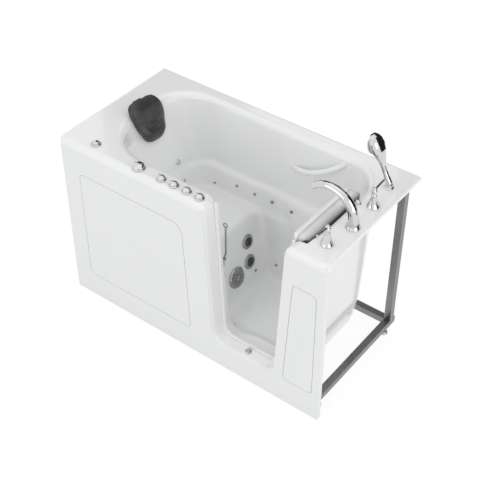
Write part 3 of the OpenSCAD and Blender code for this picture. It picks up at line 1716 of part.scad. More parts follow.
tub_shell();
front_apron();
left_access_panel();
right_access_panel();
panel_magnets();
door_landing_lip();
door_seal();
sill_strike();
hinge_brackets();
hinge_bushes();
door_outer_skin();
door_inner_skin();
door_core();
door_keeper();
latch_bracket();
latch_lever();
side_rails();
cross_rails();
frame_posts();
footwell_board();
deck_pads();
foot_nuts();
levelling_feet();
spout_base();
spout();
tap_bells();
tap_bodies();
hot_lever();
cold_lever();
mixing_pipes();
shower_cradle();
shower_handset();
spray_face();
deck_bezels();
deck_control_bodies();
push_button();
jet_selector();
air_knob_1();
air_knob_2();
air_knob_3();
air_knob_4();
headrest_pillow();
grab_bar();
jet_rings();
jet_bodies();
lower_jet_nozzle();
upper_jet_nozzle();
back_jets();
air_jets();
suction_fitting();
drain_and_overflow();
drain_stopper();
drain_knob();
waste_pipes();
equipment_tray();
pump_motor();
pump_wet_end();
water_lines();
air_blower();
control_box();
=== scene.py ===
"""Looks of the walk-in bathtub: the smooth moulded shell, its materials, the cushion and the studio."""

import json
import math

import bpy
import numpy as np
from mathutils import Matrix, Vector


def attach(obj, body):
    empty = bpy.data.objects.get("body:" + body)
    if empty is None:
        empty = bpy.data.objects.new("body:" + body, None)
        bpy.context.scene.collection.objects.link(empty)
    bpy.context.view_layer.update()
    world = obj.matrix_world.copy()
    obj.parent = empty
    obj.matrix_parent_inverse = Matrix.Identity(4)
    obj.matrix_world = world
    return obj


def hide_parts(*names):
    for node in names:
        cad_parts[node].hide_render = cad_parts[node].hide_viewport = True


MM = 0.001

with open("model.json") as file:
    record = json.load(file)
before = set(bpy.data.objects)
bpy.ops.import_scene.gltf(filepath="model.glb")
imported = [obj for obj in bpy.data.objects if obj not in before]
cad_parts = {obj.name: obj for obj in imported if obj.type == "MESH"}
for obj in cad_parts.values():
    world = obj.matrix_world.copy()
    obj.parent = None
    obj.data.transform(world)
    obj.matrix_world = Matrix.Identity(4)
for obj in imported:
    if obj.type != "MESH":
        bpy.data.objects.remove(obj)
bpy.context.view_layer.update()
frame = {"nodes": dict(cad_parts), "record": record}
nodes = frame["nodes"]

# ---------------------------------------------------------------- materials

COLOUR_BAND = (0.35, 0.65)  # the part of a noise that a colour is spread over
ROUGH_BAND = (0.3, 0.7)  # the part of a noise that a roughness is spread over
FULL = (0.0, 1.0)


def new_material(name):
    """An empty node material with its shader and output."""
    mat = bpy.data.materials.new(name)
    mat.use_nodes = True
    tree = mat.node_tree
    tree.nodes.clear()
    out = tree.nodes.new("ShaderNodeOutputMaterial")
    shader = tree.nodes.new("ShaderNodeBsdfPrincipled")
    tree.links.new(shader.outputs["BSDF"], out.inputs["Surface"])
    return mat, tree, shader


def object_coords(tree, scale=(1.0, 1.0, 1.0)):
    coords = tree.nodes.new("ShaderNodeTexCoord")
    mapping = tree.nodes.new("ShaderNodeMapping")
    mapping.inputs["Scale"].default_value = scale
    tree.links.new(coords.outputs["Object"], mapping.inputs["Vector"])
    return mapping.outputs["Vector"]


def noise(tree, vector, scale, detail=3.0):
    node = tree.nodes.new("ShaderNodeTexNoise")
    node.inputs["Scale"].default_value = scale
    node.inputs["Detail"].default_value = detail
    tree.links.new(vector, node.inputs["Vector"])
    return node.outputs["Fac"]


def spread(tree, value, band, outputs):
    """Stretches a band of a value over a band of outputs."""
    node = tree.nodes.new("ShaderNodeMapRange")
    node.inputs["From Min"].default_value, node.inputs["From Max"].default_value = band
    node.inputs["To Min"].default_value, node.inputs["To Max"].default_value = outputs
    tree.links.new(value, node.inputs["Value"])
    return node.outputs["Result"]


def two_tone(tree, value, dark, light):
    tones = tree.nodes.new("ShaderNodeValToRGB")
    tones.color_ramp.elements[0].color = (*dark, 1.0)
    tones.color_ramp.elements[1].color = (*light, 1.0)
    tree.links.new(value, tones.inputs["Fac"])
    return tones.outputs["Color"]


def bump(tree, shader, height, strength, distance):
    node = tree.nodes.new("ShaderNodeBump")
    node.inputs["Strength"].default_value = strength
    node.inputs["Distance"].default_value = distance
    tree.links.new(height, node.inputs["Height"])
    tree.links.new(node.outputs["Normal"], shader.inputs["Normal"])


def surface(name, light, variation=0.03, rough=(0.3, 0.4), metallic=0.0, grain=40.0, stretch=(1, 1, 1),
            relief=0.0, relief_depth=0.0005, coat=0.0, coat_rough=0.05, detail=4.0, mottle=4.0):
    """A surface whose colour, roughness and fine relief all vary slowly, by procedural noise."""
    mat, tree, shader = new_material(name)
    dark = tuple(c * (1.0 - variation) for c in light)
    slow = noise(tree, object_coords(tree), mottle)
    colour = two_tone(tree, spread(tree, slow, COLOUR_BAND, FULL), dark, light)
    tree.links.new(colour, shader.inputs["Base Color"])
    fine = noise(tree, object_coords(tree, stretch), grain, detail)
    tree.links.new(spread(tree, fine, ROUGH_BAND, rough), shader.inputs["Roughness"])
    shader.inputs["Metallic"].default_value = metallic
    shader.inputs["Coat Weight"].default_value = coat
    shader.inputs["Coat Roughness"].default_value = coat_rough
    if relief:
        bump(tree, shader, fine, relief, relief_depth)
    return mat


LINE_DENSITY, LINE_STRETCH = 260.0, 3.0


def brushed(name, along):
    """Drawn steel tube, whose fine lines run along one axis."""
    stretch = [LINE_DENSITY] * 3
    stretch[along] = LINE_STRETCH
    return surface(name, (0.29, 0.277, 0.276), 0.10, (0.28, 0.46), 1.0, 1.0, tuple(stretch), 0.16, 0.0004,
                   detail=6.0, mottle=2.5)


def shader_of(mat):
    return next(n for n in mat.node_tree.nodes if n.type == "BSDF_PRINCIPLED")


def roll_edges(mat, radius):
    """Shades every edge of a piece as rolled over by a radius in metres."""
    rolled = mat.node_tree.nodes.new("ShaderNodeBevel")
    rolled.samples = 6
    rolled.inputs["Radius"].default_value = radius
    mat.node_tree.links.new(rolled.outputs["Normal"], shader_of(mat).inputs["Normal"])
    return mat


def shade_gaps(mat, distance):
    """Paints shade into the colour of the parts of a surface that stand closer to another than a distance in
    metres.
    """
    near = mat.node_tree.nodes.new("ShaderNodeAmbientOcclusion")
    near.samples = 8
    near.inputs["Distance"].default_value = distance
    colour = shader_of(mat).inputs["Base Color"]
    mat.node_tree.links.new(colour.links[0].from_socket, near.inputs["Color"])
    mat.node_tree.links.new(near.outputs["Color"], colour)
    return mat


DOOR = {"light": (0.88, 0.884, 0.888), "variation": 0.012, "rough": (0.12, 0.18), "grain": 14.0, "coat": 0.3,
        "mottle": 1.5}
POLISH = {"light": (0.66, 0.665, 0.672), "rough": (0.03, 0.07), "metallic": 1.0, "grain": 30.0, "mottle": 9.0}

ACRYLIC = surface("white_acrylic", (0.90, 0.904, 0.908), 0.012, (0.10, 0.16), grain=14.0, coat=0.55,
                  coat_rough=0.04, mottle=1.5)
APRON = surface("white_panel", (0.84, 0.846, 0.852), 0.014, (0.16, 0.24), grain=22.0, coat=0.4, coat_rough=0.06,
                relief=0.03, relief_depth=0.0003, mottle=1.8)
LEAF = roll_edges(surface("white_door", **DOOR), 0.012)
# The inner door skin carries painted shade: its colour darkens where it stands close to other surfaces.
LEAF_INSIDE_GAP_SHADED = shade_gaps(roll_edges(surface("white_door_inside_gap_shade", **DOOR), 0.03), 0.2)
SEAL = surface("door_seal_rubber", (0.85, 0.855, 0.86), 0.02, grain=90.0, relief=0.05)
CHROME = roll_edges(surface("polished_chrome", **POLISH), 0.003)
DOMED = roll_edges(surface("domed_chrome", **POLISH), 0.010)
SATIN = surface("satin_metal", (0.36, 0.365, 0.37), 0.06, (0.14, 0.22), 1.0, 60.0, relief=0.03)
STAINLESS_X = brushed("stainless_along", 0)
STAINLESS_Y = brushed("stainless_across", 1)
STAINLESS_Z = brushed("stainless_upright", 2)
STEEL = surface("plain_steel", (0.55, 0.555, 0.56), 0.08, (0.25, 0.4), 1.0, 120.0, relief=0.05)
BRASS = surface("cast_brass", (0.62, 0.45, 0.20), 0.15, (0.3, 0.5), 1.0, 90.0, relief=0.15)
RUBBER = surface("black_rubber", (0.03, 0.03, 0.032), 0.25, (0.6, 0.8), grain=140.0, relief=0.2)
FOAM = surface("rigid_foam", (0.80, 0.72, 0.48), 0.1, (0.8, 0.95), grain=320.0, relief=0.5)
BOARD = surface("plywood_board", (0.58, 0.43, 0.26), 0.25, (0.5, 0.7), grain=30.0, stretch=(1, 12, 12),
                relief=0.2)
PIPE = surface("white_pipe", (0.78, 0.79, 0.79), 0.05, grain=60.0, relief=0.04)
DARK = surface("dark_plastic", (0.05, 0.055, 0.06), 0.15, (0.4, 0.55), grain=400.0, relief=0.25)
FACE = surface("spray_face_plastic", (0.78, 0.79, 0.80), 0.05, (0.25, 0.35), grain=80.0)
WHITE = surface("white_rail", (0.86, 0.865, 0.87), 0.012, (0.12, 0.18), grain=20.0, coat=0.5)
BUSH = surface("bearing_plastic", (0.72, 0.62, 0.38), 0.08, (0.4, 0.5), grain=90.0)
MAGNET = surface("coated_magnet", (0.2, 0.2, 0.21), 0.1, (0.3, 0.45), 0.6, 80.0)
# Near-black material for the cushion's upper edge: painted shade on its top side.
CUSHION_TOP_SHADE = surface("cushion_top_painted_shade", (0.010, 0.010, 0.011), 0.2, (0.35, 0.45), grain=200.0, relief=0.1)


def foam_skin():
    """Soft dark skin of a moulded cushion: fine pebbled grain with a broad satin sheen."""
    mat, tree, shader = new_material("cushion_skin")
    vector = object_coords(tree)
    slow = noise(tree, vector, 11.0)
    dark, light = (0.030, 0.031, 0.033), (0.060, 0.061, 0.064)
    colour = two_tone(tree, spread(tree, slow, COLOUR_BAND, FULL), dark, light)
    tree.links.new(colour, shader.inputs["Base Color"])
    tree.links.new(spread(tree, slow, ROUGH_BAND, (0.34, 0.44)), shader.inputs["Roughness"])
    shader.inputs["Sheen Weight"].default_value = 0.12
    shader.inputs["Sheen Roughness"].default_value = 0.4
    pebbles = tree.nodes.new("ShaderNodeTexVoronoi")
    pebbles.inputs["Scale"].default_value = 520.0
    tree.links.new(vector, pebbles.inputs["Vector"])
    bump(tree, shader, pebbles.outputs["Distance"], 0.22, 0.0004)
    return mat


CUSHION = foam_skin()

SLOT_MATERIAL = {
    "acrylic": ACRYLIC, "apron": APRON, "seal": SEAL, "chrome": CHROME, "stainless": STAINLESS_X, "steel": STEEL,
    "brass": BRASS, "rubber": RUBBER, "pillow": CUSHION, "foam": FOAM, "board": BOARD, "pipe": PIPE, "dark": DARK,
    "face": FACE, "white": WHITE, "bush": BUSH, "magnet": MAGNET,
}
# Nodes that look different from the rest of their slot: the brushed lines of a tube run along it, the fittings
# in the footwell are satin, the deck knobs look domed and the two door skins have their own white, the inner one
# with painted shade in its colour where it stands close to other surfaces, such as the pocket wall.
NODE_MATERIAL = {
    "side_rails": STAINLESS_X, "cross_rails": STAINLESS_Y, "frame_posts": STAINLESS_Z,
    "jet_rings": SATIN, "suction_fitting": SATIN, "air_jets": SATIN, "latch_lever": SATIN, "sill_strike": SATIN,
    "lower_jet_nozzle": DARK, "upper_jet_nozzle": DARK,
    "jet_selector": DOMED, "air_knob_1": DOMED, "air_knob_2": DOMED, "air_knob_3": DOMED, "air_knob_4": DOMED,
    "door_outer_skin": LEAF, "door_inner_skin": LEAF_INSIDE_GAP_SHADED,
}


def dress(obj, mat):
    obj.data.materials.clear()
    obj.data.materials.append(mat)


slot_of = {part["node"]: part["material_slot"] for part in frame["record"]["subparts"]}
for name, obj in nodes.items():
    dress(obj, NODE_MATERIAL.get(name, SLOT_MATERIAL[slot_of[name]]))

# ------------------------------------------------------- smooth moulded shell
# Sizes in millimetres, most of them the same as the CAD shell's.

HALF_L, FRONT, BACK, DECK = 762.0, -381.0, 381.0, 965.0
WALL = 6.0
LEDGE, SEAT, FLOOR, SILL, WELL = 612.0, 490.0, 115.0, 150.0, 150.0
FRONT_LIP, LIP = 40.0, 18.0
JAMB = FRONT + 77.0
OPEN_TOP = 2000.0
CELL = 8.0
SHELL_BOTTOM = 88.0
RISER_TOP, RISER_SLANT = -50.0, 80.0
GATE_RADIUS = 70.0
PARK_FLOOR = 146.0

# Radii of the soft blends between the surfaces.
EDGE_ROLL, FRONT_ROLL, DECK_ROLL, SHOULDER_ROLL = 7, 25, 34, 45
LEDGE_BLEND, SEAT_BLEND, FLOOR_BLEND, PARK_BLEND = 26, 36, 60, 22
BATH_TO_SEAT, SEAT_TO_WELL, PARK_TO_POCKET, JAMB_EDGE = 26, 34, 6, 2
POCKET_BLEND_NEAR, POCKET_BLEND_FAR = 9, 50
SKIN_BOTTOM_BLEND, SKIN_TOP_BLEND = 80, 60


def riser(z):
    """Where the slanting riser under the seat stands at a height."""
    return RISER_TOP + (SEAT - z) * RISER_SLANT / (SEAT - WELL)


def ramp(value, start, length):
    """Rises from 0 to 1 over a length that begins at a start."""
    return np.clip((value - start) / length, 0.0, 1.0)


def smin(a, b, k):
    """The lesser of two distances, blended where they differ by less than k."""
    h = np.clip(0.5 + 0.5 * (b - a) / k, 0.0, 1.0)
    return b * (1.0 - h) + a * h - k * h * (1.0 - h)


def smax(a, b, k):
    return -smin(-a, -b, k)


def rounded_rect(x, y, x0, x1, y0, y1, radii):
    """Signed distance to a rectangle with radii [low-low, low-high, high-high, high-low]."""
    cx, cy = (x0 + x1) / 2, (y0 + y1) / 2
    px, py = x - cx, y - cy
    low_x, low_y = px < 0, py < 0
    r = np.where(low_x, np.where(low_y, radii[0], radii[1]), np.where(low_y, radii[3], radii[2]))
    qx = np.abs(px) - (x1 - x0) / 2 + r
    qy = np.abs(py) - (y1 - y0) / 2 + r
    return np.minimum(np.maximum(qx, qy), 0.0) + np.hypot(np.maximum(qx, 0.0), np.maximum(qy, 0.0)) - r


def lofted(x, y, z, levels):
    """Signed distance to a hollow that blends between rounded rectangles at several heights."""
    zs = [level[0] for level in levels]
    sides = [np.interp(z, zs, [level[1][i] for level in levels]) for i in range(4)]
    radii = [np.interp(z, zs, [level[2][i] for level in levels]) for i in range(4)]
    return rounded_rect(x, y, *sides, radii)


# Each level of a hollow: its height, its sides (low x, high x, low y, high y) and its four radii.
BATH = [(LEDGE, (-452, 600, -257, 276), (200, 130, 160, 60)),
        (966, (-600, 606, -281, 300), (275, 200, 170, 60))]
SEAT_WELL = [(SEAT, (-400, 160, -232, 235), (150, 100, 60, 60)),
             (618, (-454, 160, -238, 240), (180, 100, 60, 60))]
FOOT_WELL = [(FLOOR, (riser(WELL) + 8, 548, -226, 202), (60, 66, 90, 40)),
             (620, (riser(620), 606, -238, 240), (60, 60, 120, 60))]
PARK = [(PARK_FLOOR, (480, 592, JAMB, 85), (20, 20, 40, 20)), (170, (480, 600, JAMB, 118), (20, 20, 40, 20)),
        (210, (480, 610, JAMB, 145), (20, 20, 40, 20)), (280, (480, 610, JAMB, 163), (20, 20, 40, 20))]
# Outer skin of the tap end, which tapers evenly from the deck to the floor of the bath.
TAP_END = [(110, (300, 590, -330, 150), (20, 20, 120, 20)), (150, (300, 603, -330, 196), (20, 20, 115, 20)),
           (210, (300, 613, -330, 216), (20, 20, 100, 20)), (300, (300, 618, -330, 232), (20, 20, 90, 20)),
           (620, (300, 622, -330, 286), (20, 20, 120, 20)), (966, (300, 628, -330, 318), (20, 20, 150, 20))]
# The pocket that the door leaf swings through: its right side at two heights, its back and its radii.
POCKET_RIGHT = ([PARK_FLOOR, 210], [592, 608])
POCKET_BACK, POCKET_CLEARANCE, POCKET_EDGE = -225, 3, 4
POCKET_RADII = (73, 10, 10, 60)
GATE_LEFT, GATE_LEFT_LEAN = 103, 43
GATE_RIGHT, GATE_RIGHT_LEAN = 543, 47
GATE_SPLAY = 10
GATE_FLARE, FLARE_DEPTH = 9.0, 11.0
SILL_FALL = 12


def gate_sides(z, s):
    """Left and right side of the door passage at a height, and at a depth from -1 in front to 1 inside."""
    left = GATE_LEFT + (DECK - z) * GATE_LEFT_LEAN / (DECK - SILL) + GATE_SPLAY * s
    right = GATE_RIGHT - (DECK - z) * GATE_RIGHT_LEAN / (DECK - SILL) + GATE_SPLAY * s
    return left, right


def hollows(x, y, z):
    """Distances to the four hollows and to the pocket that the door leaf swings through."""
    bath = smax(lofted(x, y, z, BATH), LEDGE - z, LEDGE_BLEND)
    seat = smax(lofted(x, y, z, SEAT_WELL), SEAT - z, SEAT_BLEND)
    foot = smax(lofted(x, y, z, FOOT_WELL), FLOOR - z, FLOOR_BLEND)
    park = smax(lofted(x, y, z, PARK), PARK_FLOOR - z, PARK_BLEND)
    left, _ = gate_sides(z, 1.0)
    pocket = rounded_rect(x, z, left - POCKET_CLEARANCE, np.interp(z, *POCKET_RIGHT), PARK_FLOOR, OPEN_TOP,
                          POCKET_RADII)
    pocket = smax(pocket, np.maximum(JAMB - y, y - POCKET_BACK), POCKET_EDGE)
    return bath, seat, foot, park, pocket


def underside(x, y, z):
    """Zero on the outer skin of the tap end, which is smoother than the hollows that it covers."""
    skin = smax(lofted(x, y, z, TAP_END), FLOOR - WALL - z, SKIN_BOTTOM_BLEND)
    return smin(skin, DECK - WALL - z, SKIN_TOP_BLEND)


def air(x, y, z):
    """Below zero in the air above and inside the bath, above zero in the moulding and beneath it."""
    bath, seat, foot, park, pocket = hollows(x, y, z)
    s = np.clip((y - FRONT) / (JAMB - FRONT), -1.0, 1.0)
    flare = GATE_FLARE * np.clip((FRONT + FLARE_DEPTH - y) / FLARE_DEPTH, 0.0, 1.5) ** 2
    left, right = gate_sides(z, s)
    gate = rounded_rect(x, z, left - flare, right + flare, SILL - SILL_FALL * (1 - s) - flare, OPEN_TOP,
                        (GATE_RADIUS, 10, 10, GATE_RADIUS))
    gate = smax(smin(gate, DECK - z, SHOULDER_ROLL), y - JAMB, JAMB_EDGE)
    inside = smin(smin(bath, seat, BATH_TO_SEAT), foot, SEAT_TO_WELL)
    sky = smin(DECK - z, inside, DECK_ROLL)
    towards_seat = 1.0 - ramp(x, 200, 100)
    pocket_blend = POCKET_BLEND_NEAR + (POCKET_BLEND_FAR - POCKET_BLEND_NEAR) * towards_seat
    sky = smin(sky, smin(park, pocket, PARK_TO_POCKET), pocket_blend)
    sky = smin(sky, gate, EDGE_ROLL)
    sky = smin(sky, y - FRONT, FRONT_ROLL)
    sides = np.minimum(np.minimum(x + HALF_L, HALF_L - x), BACK - y)
    return smin(sky, sides, EDGE_ROLL)


def grid_surface(field, low, high, cell):
    """Vertices and quads of the field's zero surface on a grid: one vertex in each cell that it crosses."""
    counts = [int(math.ceil((h - l) / cell)) + 1 for l, h in zip(low, high)]
    grid = [l + cell * np.arange(n) for l, n in zip(low, counts)]
    values = field(grid[0][:, None, None], grid[1][None, :, None], grid[2][None, None, :]).astype(np.float32)
    inside = values < 0
    corners = [(dx, dy, dz) for dx in (0, 1) for dy in (0, 1) for dz in (0, 1)]
    cells = np.zeros([n - 1 for n in counts], dtype=np.int8)
    for corner in corners:
        cells += inside[tuple(slice(d, d + n - 1) for d, n in zip(corner, counts))]
    active = (cells > 0) & (cells < 8)
    index = np.full(cells.shape, -1, dtype=np.int64)
    index[active] = np.arange(active.sum())
    where = np.argwhere(active)
    total = np.zeros((len(where), 3))
    hits = np.zeros(len(where))
    for a in range(8):
        for b in range(a + 1, 8):
            step = np.array(corners[b]) - np.array(corners[a])
            if np.abs(step).sum() != 1:
                continue
            va = values[tuple((where + corners[a]).T)]
            vb = values[tuple((where + corners[b]).T)]
            cut = (va < 0) != (vb < 0)
            t = np.where(cut, va / np.where(cut, va - vb, 1.0), 0.0)
            total += np.where(cut[:, None], np.array(corners[a]) + t[:, None] * step, 0.0)
            hits += cut
    verts = np.array(low) + cell * (where + total / hits[:, None])
    quads = []
    for axis in range(3):
        u, v = (axis + 1) % 3, (axis + 2) % 3
        first = [slice(1, n - 1) for n in counts]
        first[axis] = slice(0, counts[axis] - 1)
        second = list(first)
        second[axis] = slice(1, counts[axis])
        a, b = inside[tuple(first)], inside[tuple(second)]
        crossing = np.argwhere(a != b) + 1
        crossing[:, axis] -= 1
        flip = a[a != b]
        ring = []
        for du, dv in ((-1, -1), (0, -1), (0, 0), (-1, 0)):
            at = crossing.copy()
            at[:, u] += du
            at[:, v] += dv
            ring.append(index[tuple(at.T)])
        quad = np.stack(ring, 1)
        quads.append(np.where(flip[:, None], quad[:, ::-1], quad))
    return verts, np.concatenate(quads)


def slope(field, p, step=0.6):
    grad = np.zeros_like(p)
    for i in range(3):
        d = np.zeros(3)
        d[i] = step
        grad[:, i] = (field(*(p + d).T) - field(*(p - d).T)) / (2 * step)
    return grad


def settle(field, p, rounds=4):
    """Moves points onto the field's zero surface, by 3 mm at most in a round."""
    for _ in range(rounds):
        g = slope(field, p)
        move = field(*p.T)[:, None] * g / np.maximum((g * g).sum(1), 0.04)[:, None]
        p = p - np.clip(move, -3.0, 3.0)
    return p


def unit_slope(field, p):
    grad = slope(field, p)
    return grad / np.linalg.norm(grad, axis=1)[:, None]


def trim(verts, quads):
    """Takes away the grid's front and sides below the lips, and the vertices that are left over."""
    mid = verts[quads].mean(1)
    front_face = (mid[:, 1] < FRONT + WALL) & (mid[:, 2] < DECK - FRONT_LIP)
    outside = (np.abs(mid[:, 0]) > HALF_L - 2) | (mid[:, 1] > BACK - 2)
    quads = quads[~(front_face | (outside & (mid[:, 2] < DECK - LIP)))]
    used = np.unique(quads)
    renumber = np.full(len(verts), -1)
    renumber[used] = np.arange(len(used))
    return verts[used], renumber[quads]


def open_edges(quads):
    """The edges that only one quad has."""
    edges = np.concatenate([quads[:, [i, (i + 1) % 4]] for i in range(4)])
    _, first, count = np.unique(np.sort(edges, 1), axis=0, return_index=True, return_counts=True)
    return edges[first[count == 1]]


def straighten(verts, rim, near=3, wrap=30):
    """Levels the rim along the lips; the front lip wraps round both corners, past the apron's thickness."""
    for i in np.unique(rim):
        p = verts[i]
        at_end = abs(p[0]) > HALF_L - near
        if p[1] < FRONT + near or (at_end and p[1] < FRONT + wrap):
            p[2] = DECK - FRONT_LIP
        elif p[2] < DECK and (at_end or p[1] > BACK - near):
            p[2] = DECK - LIP
        else:
            p[1] = FRONT + WALL


def tap_end_share(p):
    """One where the outer skin follows the smooth tap end, zero where it follows the hollows."""
    return ramp(p[:, 0], 440, 50) * ramp(DECK - LIP - p[:, 2], 0, 20) * ramp(p[:, 1], JAMB - 10, 30)


def shell_mesh():
    """The moulding as two skins, a wall's thickness apart, that are joined along the rim."""
    margin = 2 * CELL
    low = (-HALF_L - margin, FRONT - margin, SHELL_BOTTOM)
    high = (HALF_L + margin, BACK + margin, DECK + margin)
    verts, quads = grid_surface(air, low, high, CELL)
    verts, quads = trim(settle(air, verts), quads)
    normals = unit_slope(air, verts)
    rim = open_edges(quads)
    straighten(verts, rim)
    back_side = verts + WALL * normals
    share = tap_end_share(verts)[:, None]
    skin = settle(underside, back_side, 14)
    back_side += share * (skin - back_side)
    back_normals = normals + share * (unit_slope(underside, skin) - normals)
    n = len(verts)
    edge_quads = np.stack([rim[:, 1], rim[:, 0], rim[:, 0] + n, rim[:, 1] + n], 1)
    faces = np.concatenate([quads, quads[:, ::-1] + n, edge_quads])
    points = np.concatenate([verts, back_side]) * MM
    mesh = bpy.data.meshes.new("moulded_shell")
    mesh.from_pydata(points.tolist(), [], faces.tolist())
    mesh.update()
    mesh.polygons.foreach_set("use_smooth", np.ones(len(faces), dtype=bool))
    mesh.normals_split_custom_set_from_vertices(np.concatenate([-normals, back_normals]).tolist())
    obj = bpy.data.objects.new("moulded_shell", mesh)
    bpy.context.collection.objects.link(obj)
    return obj


shell = shell_mesh()
dress(shell, ACRYLIC)
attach(shell, "tub")
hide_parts("tub_shell")

# ------------------------------------------------------------------ cushion
# The cushion's own frame: across the bath, up the backrest and out of it. Sizes in millimetres.

BACKREST_TOP, BACKREST_RUN = -600.0, 148.0
PAD_HALF_WIDE, PAD_HALF_TALL = 100.0, 109.0
PAD_ABOVE_DECK, PAD_Y = 42.0, 35.0
LEAN = math.atan2(BACKREST_RUN, DECK - LEDGE)
PAD_TURN = math.radians(-5.3)
PAD_OUT = np.array([math.cos(LEAN), 0.0, math.sin(LEAN)])
PAD_UP = np.array([-math.sin(LEAN), 0.0, math.cos(LEAN)])
PAD_SIDE = np.array([0.0, 1.0, 0.0])
PAD_MID_Z = DECK - PAD_HALF_TALL * math.cos(LEAN) + PAD_ABOVE_DECK
PAD_MID = np.array([BACKREST_TOP + BACKREST_RUN * (DECK - PAD_MID_Z) / (DECK - LEDGE), PAD_Y, PAD_MID_Z])

GROOVE_DEPTH, GROOVE_HEIGHT, GROOVE_WIDTH = 1.6, 9.0, 2.2
CREASE_DEPTH, HOLLOW_DEPTH = 10.0, 9.0
WING_UP, WING_OUT, CROWN_UP = 12.0, 24.0, 12.0

# The cloth simulation, in metres and frames.
VOXEL = 0.0045
SHRINK = 0.0016
SWELL_LIMIT = 0.006
CLOTH_FRAMES = 20


def vertex_array(mesh):
    flat = np.zeros(len(mesh.vertices) * 3)
    mesh.vertices.foreach_get("co", flat)
    return flat.reshape(-1, 3)


def vertex_normals(mesh):
    flat = np.zeros(len(mesh.vertices) * 3)
    mesh.vertex_normals.foreach_get("vector", flat)
    return flat.reshape(-1, 3)


def evaluated_mesh(obj):
    """The object's mesh with its modifiers, as they stand at this frame."""
    return bpy.data.meshes.new_from_object(obj.evaluated_get(bpy.context.evaluated_depsgraph_get()))


def corner_fill(y, z):
    """How far the backrest's rounded corners stand out of its flat at a height."""
    heights = [level[0] for level in BATH]
    low, high = (np.interp(z, heights, [level[1][side] for level in BATH]) for side in (2, 3))
    r_low, r_high = (np.interp(z, heights, [level[2][corner] for level in BATH]) for corner in (0, 1))
    into_low = np.clip(low + r_low - y, 0.0, r_low)
    into_high = np.clip(y - high + r_high, 0.0, r_high)
    return r_low - np.sqrt(r_low ** 2 - into_low ** 2) + r_high - np.sqrt(r_high ** 2 - into_high ** 2)


def hump(value, middle, width):
    return np.exp(-((value - middle) / width) ** 2)


def sew(mesh):
    """Bends the cushion with the wall behind it, draws out its wing and presses in its seam and creases."""
    p = vertex_array(mesh)
    local = p / MM - PAD_MID
    a, b, h = local @ PAD_SIDE, local @ PAD_UP, local @ PAD_OUT
    u = (a * math.cos(PAD_TURN) + b * math.sin(PAD_TURN)) / PAD_HALF_WIDE
    v = (-a * math.sin(PAD_TURN) + b * math.cos(PAD_TURN)) / PAD_HALF_TALL
    front = ramp(h, 14.0, 12.0)
    smile = -0.28 + 0.42 * u * u
    pressed = GROOVE_DEPTH * hump(h, GROOVE_HEIGHT, GROOVE_WIDTH)
    pressed += CREASE_DEPTH * hump(v, smile, 0.10) * np.clip(1.0 - (u / 0.62) ** 2, 0.0, 1.0) * front
    pressed += HOLLOW_DEPTH * hump(v, 0.12, 0.42) * hump(u, 0.0, 0.40) * front
    bend = corner_fill(p[:, 1] / MM, p[:, 2] / MM)[:, None] * PAD_OUT
    bend += (hump(u, -0.90, 0.42) * hump(v, 0.80, 0.45))[:, None] * (WING_UP * PAD_UP - WING_OUT * PAD_SIDE)
    bend += (np.clip(v, 0.0, 1.0) ** 2)[:, None] * CROWN_UP * PAD_UP
    moved = p + (bend - vertex_normals(mesh) * pressed[:, None]) * MM
    mesh.vertices.foreach_set("co", moved.ravel())


def swell(obj, start, held):
    """Blows the cushion up as cloth and gives its vertices' new places, with the held ones where they were."""
    cloth = obj.modifiers.new("cloth", "CLOTH")
    cloth.settings.use_pressure = True
    cloth.settings.uniform_pressure_force = 4.0
    cloth.settings.effector_weights.gravity = 0.0
    cloth.settings.quality = 6
    cloth.settings.tension_stiffness = 25.0
    cloth.settings.compression_stiffness = 25.0
    cloth.settings.bending_stiffness = 8.0
    cloth.point_cache.frame_start, cloth.point_cache.frame_end = 1, CLOTH_FRAMES
    for step in range(1, CLOTH_FRAMES + 1):
        bpy.context.scene.frame_set(step)
    moved = vertex_array(evaluated_mesh(obj)) - start
    far = np.linalg.norm(moved, axis=1)
    moved *= (SWELL_LIMIT * np.tanh(far / SWELL_LIMIT) / np.maximum(far, 1e-9))[:, None]
    moved[held] *= 0.0
    obj.modifiers.clear()
    bpy.context.scene.frame_set(1)
    return start + moved


def cushion():
    """The headrest as a soft pad: swelled as cloth from its CAD form, then given its seam and creases."""
    source = nodes["headrest_pillow"]
    obj = bpy.data.objects.new("neck_cushion", source.data.copy())
    obj.matrix_world = source.matrix_world
    bpy.context.collection.objects.link(obj)
    remesh = obj.modifiers.new("remesh", "REMESH")
    remesh.mode = "VOXEL"
    remesh.voxel_size = VOXEL
    mesh = evaluated_mesh(obj)
    obj.modifiers.clear()
    obj.data = mesh
    normals = vertex_normals(mesh)
    flat_back = (normals @ PAD_OUT) < -0.8
    start = vertex_array(mesh) - normals * np.where(flat_back, 0.0, SHRINK)[:, None]
    mesh.vertices.foreach_set("co", start.ravel())
    mesh.vertices.foreach_set("co", swell(obj, start, flat_back).ravel())
    mesh.update()
    subdivide = obj.modifiers.new("subdivide", "SUBSURF")
    subdivide.levels = subdivide.render_levels = 1
    finer = evaluated_mesh(obj)
    obj.modifiers.clear()
    obj.data = finer
    sew(finer)
    finer.polygons.foreach_set("use_smooth", np.ones(len(finer.polygons), dtype=bool))
    finer.update()
    return obj


pillow = cushion()
dress(pillow, CUSHION)
# The cushion's upper edge is darker than its face: painted shade on the faces of its top side.
pillow.data.materials.append(CUSHION_TOP_SHADE)
for face in pillow.data.polygons:
    on_edge = face.normal.dot(Vector(PAD_OUT)) < 0.25
    face.material_index = int(on_edge and face.normal.dot(Vector(PAD_UP)) > 0.3)
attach(pillow, "headrest")
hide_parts("headrest_pillow")

# ------------------------------------------------------------------- studio
# Places and sizes in metres.

